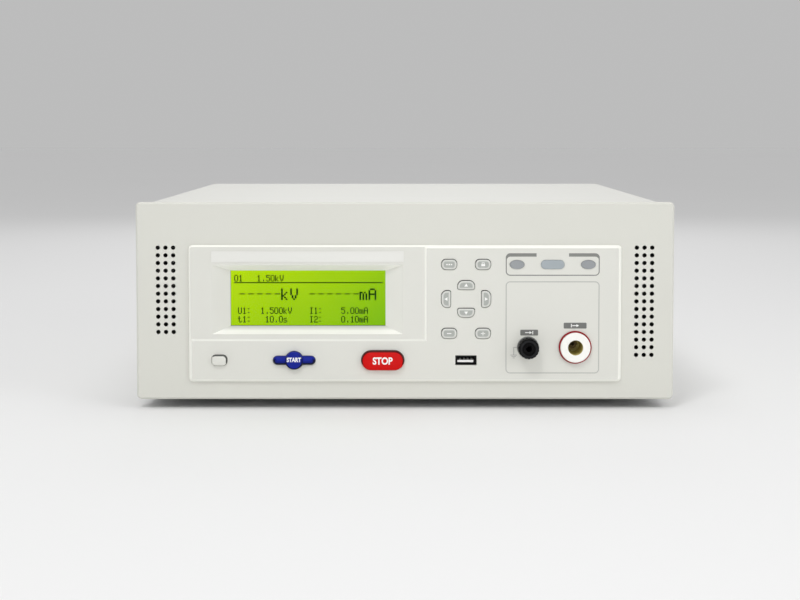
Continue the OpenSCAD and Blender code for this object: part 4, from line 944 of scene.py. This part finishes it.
class TESTER_OT_display(Operator):
    """Display module with its lit readout behind a clear window"""

    bl_idname = "tester.display"
    bl_label = "Display"

    def execute(self, context):
        low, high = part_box("lcd_glass")
        glow = lit_display("display_glow", colour("display"), colour("display_edge"), low, high)
        paint(glow, "lcd_glass")
        paint(clear_sheet("window_clear"), "display_window")
        paint(moulded("module_black", rgb(38, 38, 40), 0.5), "lcd_frame")
        paint(moulded("backlight_white", rgb(238, 238, 230), 0.5), "lcd_backlight")
        paint(board("board_green", BOARD_GREEN), "lcd_board")
        self.readout(low, high)
        return {"FINISHED"}

    def readout(self, low, high):
        """Dot matrix rows: a heading, two large idle readings and four small set values."""
        size = sizes()
        centre = (low + high) / 2
        left = centre.x - size.window_w / 2
        top = centre.z + size.window_h / 2
        small = (size.dot, 1.25 * size.dot)
        large = (2 * size.dot, 2.2 * size.dot)
        # Letters, millimetres from the left and from the top, and size of a dot
        rows = (
            ("01   1.50kV", 2.3, 3.2, small), ("kV", 33.8, 12.3, large), ("mA", 86.5, 12.3, large),
            ("U1:  1.500kV", 4.7, 25.1, small), ("t1:   10.0s", 4.7, 30.9, small),
            ("I1:    5.00mA", 52.8, 25.1, small), ("I2:    0.10mA", 52.8, 30.9, small))
        plates = []
        for letters, x, drop, dot in rows:
            plates += self.row(letters, left + x * MM, top - drop * MM, dot)
        thin = 0.7 * MM
        plates.append((stroke(size.window_w - 4 * MM, thin), Vector((centre.x, 0, top - 8.4 * MM))))
        dash = stroke(3.8 * MM, thin)
        pitch = 5.9 * MM
        for x, count in ((7.6 * MM, 5), (54.7 * MM, 6)):
            for step in range(count):
                plates.append((dash, Vector((left + x + pitch * step, 0, top - 16.0 * MM))))
        dark = gloss("readout_dark", colour("readout"), 0.6, coat=0.0, specular=0.05)
        keep_print("display_readout", plates, low.y, dark)

    def row(self, letters, x, z, dot):
        """Plates of one row of dot matrix characters, from its upper left corner."""
        wide, tall = dot
        for place, letter in enumerate(letters):
            for line, bits in enumerate(GLYPHS[letter].split()):
                column = 0
                for bit, run in itertools.groupby(bits):
                    count = len(list(run))
                    if bit == "1":
                        outline = rounded(count * wide + sizes().bleed, tall, 0, steps=1)
                        across = place * CELL + column + count / 2
                        yield outline, Vector((x + across * wide, 0, z - (line + 0.5) * tall))
                    column += count


class TESTER_OT_buttons(Operator):
    """Power, start and stop buttons"""

    bl_idname = "tester.buttons"
    bl_label = "Buttons"

    def execute(self, context):
        power = self.power()
        start = self.start()
        stop = self.stop()
        # Painted shade on the upper right wall and edge of the power button
        dark = moulded("key_rim", colour("key_rim"), 0.5)
        paint_faces(power, dark, rim(Vector((0.6, 0, 0.8)), 0.2, -0.9))
        # Painted shade on the lower and side walls and edge of the start button
        paint_faces(start, self.satin("start_rim", colour("start_rim"), 0.4), rim(-UP, -0.3, -0.95))
        # Painted shade on the upper and side walls and edge of the stop button
        paint_faces(stop, self.satin("stop_rim", colour("stop_rim"), 0.4), rim(UP, -0.3, -0.9))
        return {"FINISHED"}

    def satin(self, name, tint, roughness=0.36):
        """Coloured plastic with little gloss."""
        return gloss(name, tint, roughness, coat=0.0, specular=0.14)

    def cap(self, node, outlines, crown, material, slot):
        """Replaces a button solid by a smooth cap of the same size.

        Each outline has its depth behind the front, the radius of its edge and its largest inset."""
        shape = bmesh.new()
        for outline, depth, edge, reach in outlines:
            front = front_of(node) + depth
            crowned(shape, outline, middle(node), cap_back(node), front, edge, crown, reach)
        piece = keep_shape(node + "_cap", shape, material, node + "_body", CAP_SMOOTH)
        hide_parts(node)
        return piece

    def power(self):
        """Rounded rectangle with a soft edge."""
        outline = (slab(*sizes().power), 0, 1.1 * MM, 2.4 * MM)
        plastic = moulded("fascia_plastic", colour("fascia"))
        return self.cap("power_button", [outline], 0.12 * MM, plastic, "fascia_plastic")

    def start(self):
        """Round button with a bar across it."""
        radius = sizes().start_disc
        outlines = (
            (lambda d: disc(radius - d), 0, 1.2 * MM, 4.5 * MM),
            (slab(*sizes().start_bar, 10), 0.6 * MM, 2.0 * MM, 2.5 * MM))
        legend = middle("start_button") + Vector((0, 0, 0.75 * MM))
        back = front_of("start_button") + 0.02 * MM
        lettering("start_legend", "START", 9.6 * MM, 3.1 * MM, legend, back, 0.08 * MM, 0.12 * MM,
                  mark_white(), "start_button_body")
        blue = self.satin("start_blue", colour("start"))
        return self.cap("start_button", outlines, 0.15 * MM, blue, "start_blue")

    def stop(self):
        """Long button with rounded ends."""
        outline = (slab(*sizes().stop, 12), 0, 1.7 * MM, 5.0 * MM)
        legend = middle("stop_button")
        back = front_of("stop_button") + 0.03 * MM
        lettering("stop_legend", "STOP", 13.3 * MM, 5.0 * MM, legend, back, 0.1 * MM, 0.16 * MM,
                  mark_white(), "stop_button_body")
        red = self.satin("stop_red", colour("stop"))
        return self.cap("stop_button", [outline], 0.2 * MM, red, "stop_red")


# Strokes of each sign: place from the key's middle, width and height in millimetres
SIGN_KEYS = {
    "key_upper_left": ((-1.5, 0, 0.9, 0.9), (0, 0, 0.9, 0.9), (1.5, 0, 0.9, 0.9)),
    "key_upper_right": (
        (0, -0.35, 2.6, 1.5), (-0.75, 0.7, 0.45, 1.0), (0.75, 0.7, 0.45, 1.0), (0, 1.2, 1.95, 0.45)),
    "key_lower_left": ((0, 0, 3.0, 0.55),),
    "key_lower_right": ((0, 0, 3.0, 0.55), (0, 0, 0.55, 2.4)),
}

# Turn of each arrow key, in degrees
ARROW_KEYS = {"key_up": 0, "key_down": 180, "key_left": 90, "key_right": 270}


class TESTER_OT_keys(Operator):
    """Eight keys with grey inlays and white marks"""

    bl_idname = "tester.keys"
    bl_label = "Keys"

    def execute(self, context):
        paint(board("board_green", BOARD_GREEN), "key_board")
        paint(moulded("switch_black", rgb(30, 30, 32), 0.5), "key_switches", "power_switch")
        for node, strokes in SIGN_KEYS.items():
            marks = [(stroke(w * MM, h * MM, 0.15 * MM), Vector((x * MM, 0, z * MM)))
                     for x, z, w, h in strokes]
            self.key(node, slab(*sizes().key), marks)
        half = 1.25 * MM
        arrow = [(-half, -0.75 * half), (half, -0.75 * half), (0, 0.95 * half)]
        for node, turn in ARROW_KEYS.items():
            self.key(node, self.arrow_outline(turn), [(turned(arrow, turn), Vector())])
        return {"FINISHED"}

    def arrow_outline(self, turn):
        """Turned outline of an arrow key, as a function of its inset."""
        wide, tall, radius = sizes().arrow
        foot = sizes().arrow_foot

        def outline(d):
            return turned(rounded(wide - 2 * d, tall - 2 * d, radius - d, foot - d), turn)

        return outline

    def key(self, node, outline, marks):
        """Cap, inlay and mark of one key."""
        centre = middle(node)
        front = front_of(node)
        body = node + "_body"
        shape = bmesh.new()
        crowned(shape, outline, centre, cap_back(node), front, 0.75 * MM, 0.06 * MM, 2.0 * MM)
        plastic = moulded("key_plastic", colour("key"), 0.38)
        piece = keep_shape(node + "_cap", shape, plastic, body, CAP_SMOOTH)
        # Painted shade on the upper wall and edge of each key cap
        paint_faces(piece, moulded("key_rim", colour("key_rim"), 0.5), rim(UP))
        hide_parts(node)
        inlay = [(outline(1.35 * MM), centre)]
        grey = moulded("inlay_grey", colour("inlay"), 0.45)
        keep_print(node + "_inlay", inlay, front + 0.07 * MM, grey, body, 0.1 * MM)
        plates = [(points, centre + place) for points, place in marks]
        keep_print(node + "_mark", plates, front - 0.02 * MM, mark_white(), body)


class TESTER_OT_lamps(Operator):
    """Indicator lenses and the lamps behind them"""

    bl_idname = "tester.lamps"
    bl_label = "Lamps"

    def execute(self, context):
        paint(gloss("lamp_lens", colour("lamp"), 0.3, 0.3), "lamp_lenses")
        across = middle("lamp_lenses").x

        def at_the_side(place, normal):
            return abs(place.x - across) > 12 * MM

        side_lens = gloss("side_lens", colour("side_lamp"), 0.3, 0.3)
        paint_faces(NODES["lamp_lenses"], side_lens, at_the_side)
        soften("lamp_lenses", 0.15 * MM)
        paint(gloss("lamp_resin", rgb(228, 228, 220), 0.2), "lamp_leds")
        return {"FINISHED"}


class TESTER_OT_port(Operator):
    """Data port with its contacts"""

    bl_idname = "tester.port"
    bl_label = "Port"

    def execute(self, context):
        black = gloss("port_black", rgb(16, 16, 17), 0.4, coat=0.0, specular=0.2)
        # Painted shade: the tongue is black all over but for the white plate on its front end, so that
        # its top reads as the shade inside the shell
        paint(black, "usb_shell", "usb_tongue")
        front = front_of("usb_tongue")
        centre = middle("usb_shell")
        tongue_top = centre.z + 0.05 * MM
        tall = 1.45 * MM
        middle_of_end = Vector((centre.x - 0.4 * MM, 0, tongue_top - tall / 2))
        end = [(rounded(10.7 * MM, tall, 0.2 * MM, steps=3), middle_of_end)]
        pale = moulded("port_tongue", rgb(240, 240, 238), 0.4)
        keep_print("port_tongue_end", end, front, pale)
        self.contacts(centre, front, tongue_top)
        return {"FINISHED"}

    def contacts(self, centre, front, tongue_top):
        """Four contacts along the top of the tongue."""
        contact = Vector((1.1 * MM, 6 * MM, 0.9 * MM))
        pitch = 2.5 * MM
        depth = front + 3.4 * MM
        shape = bmesh.new()
        for column in range(4):
            at = Vector((centre.x + (column - 1.5) * pitch, depth, tongue_top + contact.z / 2))
            for v in bmesh.ops.create_cube(shape, size=1)["verts"]:
                v.co = at + v.co * contact
        tin = plated("contact_tin", rgb(120, 120, 116), 0.4)
        keep_shape("port_contacts", shape, tin)


class TESTER_OT_terminals(Operator):
    """Return post and high voltage output"""

    bl_idname = "tester.terminals"
    bl_label = "Terminals"

    def execute(self, context):
        brass = plated("terminal_brass", rgb(196, 164, 92), 0.24)
        paint(brass, "return_nut", "return_collar", "earth_post")
        # The contact is bronze, darkened as painted shade for the bottom of the bore
        paint(plated("contact_bronze", rgb(86, 74, 48), 0.4), "output_contact")
        black = gloss("post_black", rgb(5, 5, 6), 0.42, coat=0.0, specular=0.1)
        paint(black, "return_cap", "return_stud")
        paint(moulded("post_grey", rgb(120, 121, 120), 0.45), "return_base")
        paint(gloss("ring_red", colour("ring"), 0.36, coat=0.0, specular=0.2), "output_ring")
        white = gloss("insulator_white", colour("insulator"), 0.25, 0.2)
        paint(white, "output_insulator", "output_nut")
        self.cap_face()
        self.bore_sleeve()
        for node in ("return_cap", "return_base", "output_ring", "output_insulator"):
            soften(node, 0.2 * MM)
        return {"FINISHED"}

    def cap_face(self):
        """Painted sheen: a slightly paler front ring of the return cap, standing in for the highlights
        on it.
        """
        front = front_of("return_cap")

        def on_front(place, normal):
            return normal.y < -0.9 and place.y - front < 0.2 * MM

        # Painted sheen on the cap's front faces
        face = gloss("cap_face", rgb(32, 33, 34), 0.42, coat=0.0, specular=0.1)
        paint_faces(NODES["return_cap"], face, on_front)

    def bore_sleeve(self):
        """Yellowish lining of the output's bore."""
        axis = middle("output_contact")
        mouth = front_of("output_insulator") + 2 * MM

        def lines_bore(place, normal):
            inward = Vector((axis.x - place.x, 0, axis.z - place.z))
            wall = inward.normalized().dot(normal) > 0.7
            return inward.length < 5.1 * MM and (wall or place.y > mouth)

        sleeve = moulded("bore_sleeve", rgb(196, 184, 116), 0.5)
        paint_faces(NODES["output_insulator"], sleeve, lines_bore)


class TESTER_OT_rear(Operator):
    """Fan, guard, mains inlet, rear connectors and fuse drawer"""

    bl_idname = "tester.rear"
    bl_label = "Rear"

    def execute(self, context):
        black = moulded("fan_black", rgb(32, 32, 34), 0.45)
        for node in ("fan_frame", "fan_rotor", "inlet_housing", "fuse_drawer"):
            paint(black, node)
            soften(node, 0.3 * MM)
        chrome = plated("guard_chrome", rgb(206, 207, 209), 0.2)
        paint(chrome, "fan_guard", "inlet_pins", "serial_port", "handler_port")
        for node in ("serial_port", "handler_port"):
            self.insert(node, black)
        soften("fan_guard", 0.5 * MM, 3)
        return {"FINISHED"}

    def insert(self, node, material):
        """Darkens the floor of a rear port's shell."""
        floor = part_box(node)[1].y - 4.5 * MM

        def on_floor(place, normal):
            return normal.y > 0.9 and abs(place.y - floor) < 0.2 * MM

        paint_faces(NODES[node], material, on_floor)


class TESTER_OT_inside(Operator):
    """Transformers, boards and heat sink"""

    bl_idname = "tester.inside"
    bl_label = "Inside"

    def execute(self, context):
        paint(winding("toroid_wire", rgb(190, 128, 60)), "mains_toroid")
        paint(winding("hv_wire", rgb(176, 104, 52)), "hv_winding")
        paint(laminated("core_sheets", rgb(112, 114, 120)), "hv_core")
        paint(plated("clamp_steel", rgb(188, 189, 190), 0.35), "toroid_clamp")
        paint(rubber("lead_silicone", rgb(168, 26, 26)), "hv_lead")
        paint(board("board_green", BOARD_GREEN), "control_board", "hv_board")
        paint(moulded("part_black", rgb(40, 40, 42), 0.45), "control_parts")
        paint(plated("sink_anodised", rgb(62, 62, 66), 0.45), "heat_sink")
        return {"FINISHED"}


STEPS = (
    TESTER_OT_stage, TESTER_OT_case, TESTER_OT_fascia, TESTER_OT_display, TESTER_OT_buttons,
    TESTER_OT_keys, TESTER_OT_lamps, TESTER_OT_port, TESTER_OT_terminals, TESTER_OT_rear,
    TESTER_OT_inside,
)


class TESTER_PT_panel(Panel):
    """Lists the steps that dress the tester"""

    bl_idname = "TESTER_PT_panel"
    bl_label = "Tester"
    bl_space_type = "VIEW_3D"
    bl_region_type = "UI"
    bl_category = "Tester"

    def draw(self, context):
        for step in STEPS:
            self.layout.operator(step.bl_idname)


CLASSES = (TesterColours, TesterSizes, StageSettings, *STEPS, TESTER_PT_panel)


def register():
    """Registers the classes and their settings."""
    for item in CLASSES:
        bpy.utils.register_class(item)
    bpy.types.Scene.tester_colours = PointerProperty(type=TesterColours)
    bpy.types.Scene.tester_sizes = PointerProperty(type=TesterSizes)
    bpy.types.Scene.tester_stage = PointerProperty(type=StageSettings)


def unregister():
    """Takes the settings and classes away again."""
    del bpy.types.Scene.tester_stage
    del bpy.types.Scene.tester_sizes
    del bpy.types.Scene.tester_colours
    for item in reversed(CLASSES):
        bpy.utils.unregister_class(item)


def main():
    """Dresses the frame."""
    register()
    for step in STEPS:
        group, name = step.bl_idname.split(".")
        getattr(getattr(bpy.ops, group), name)()


if __name__ == "__main__":
    main()
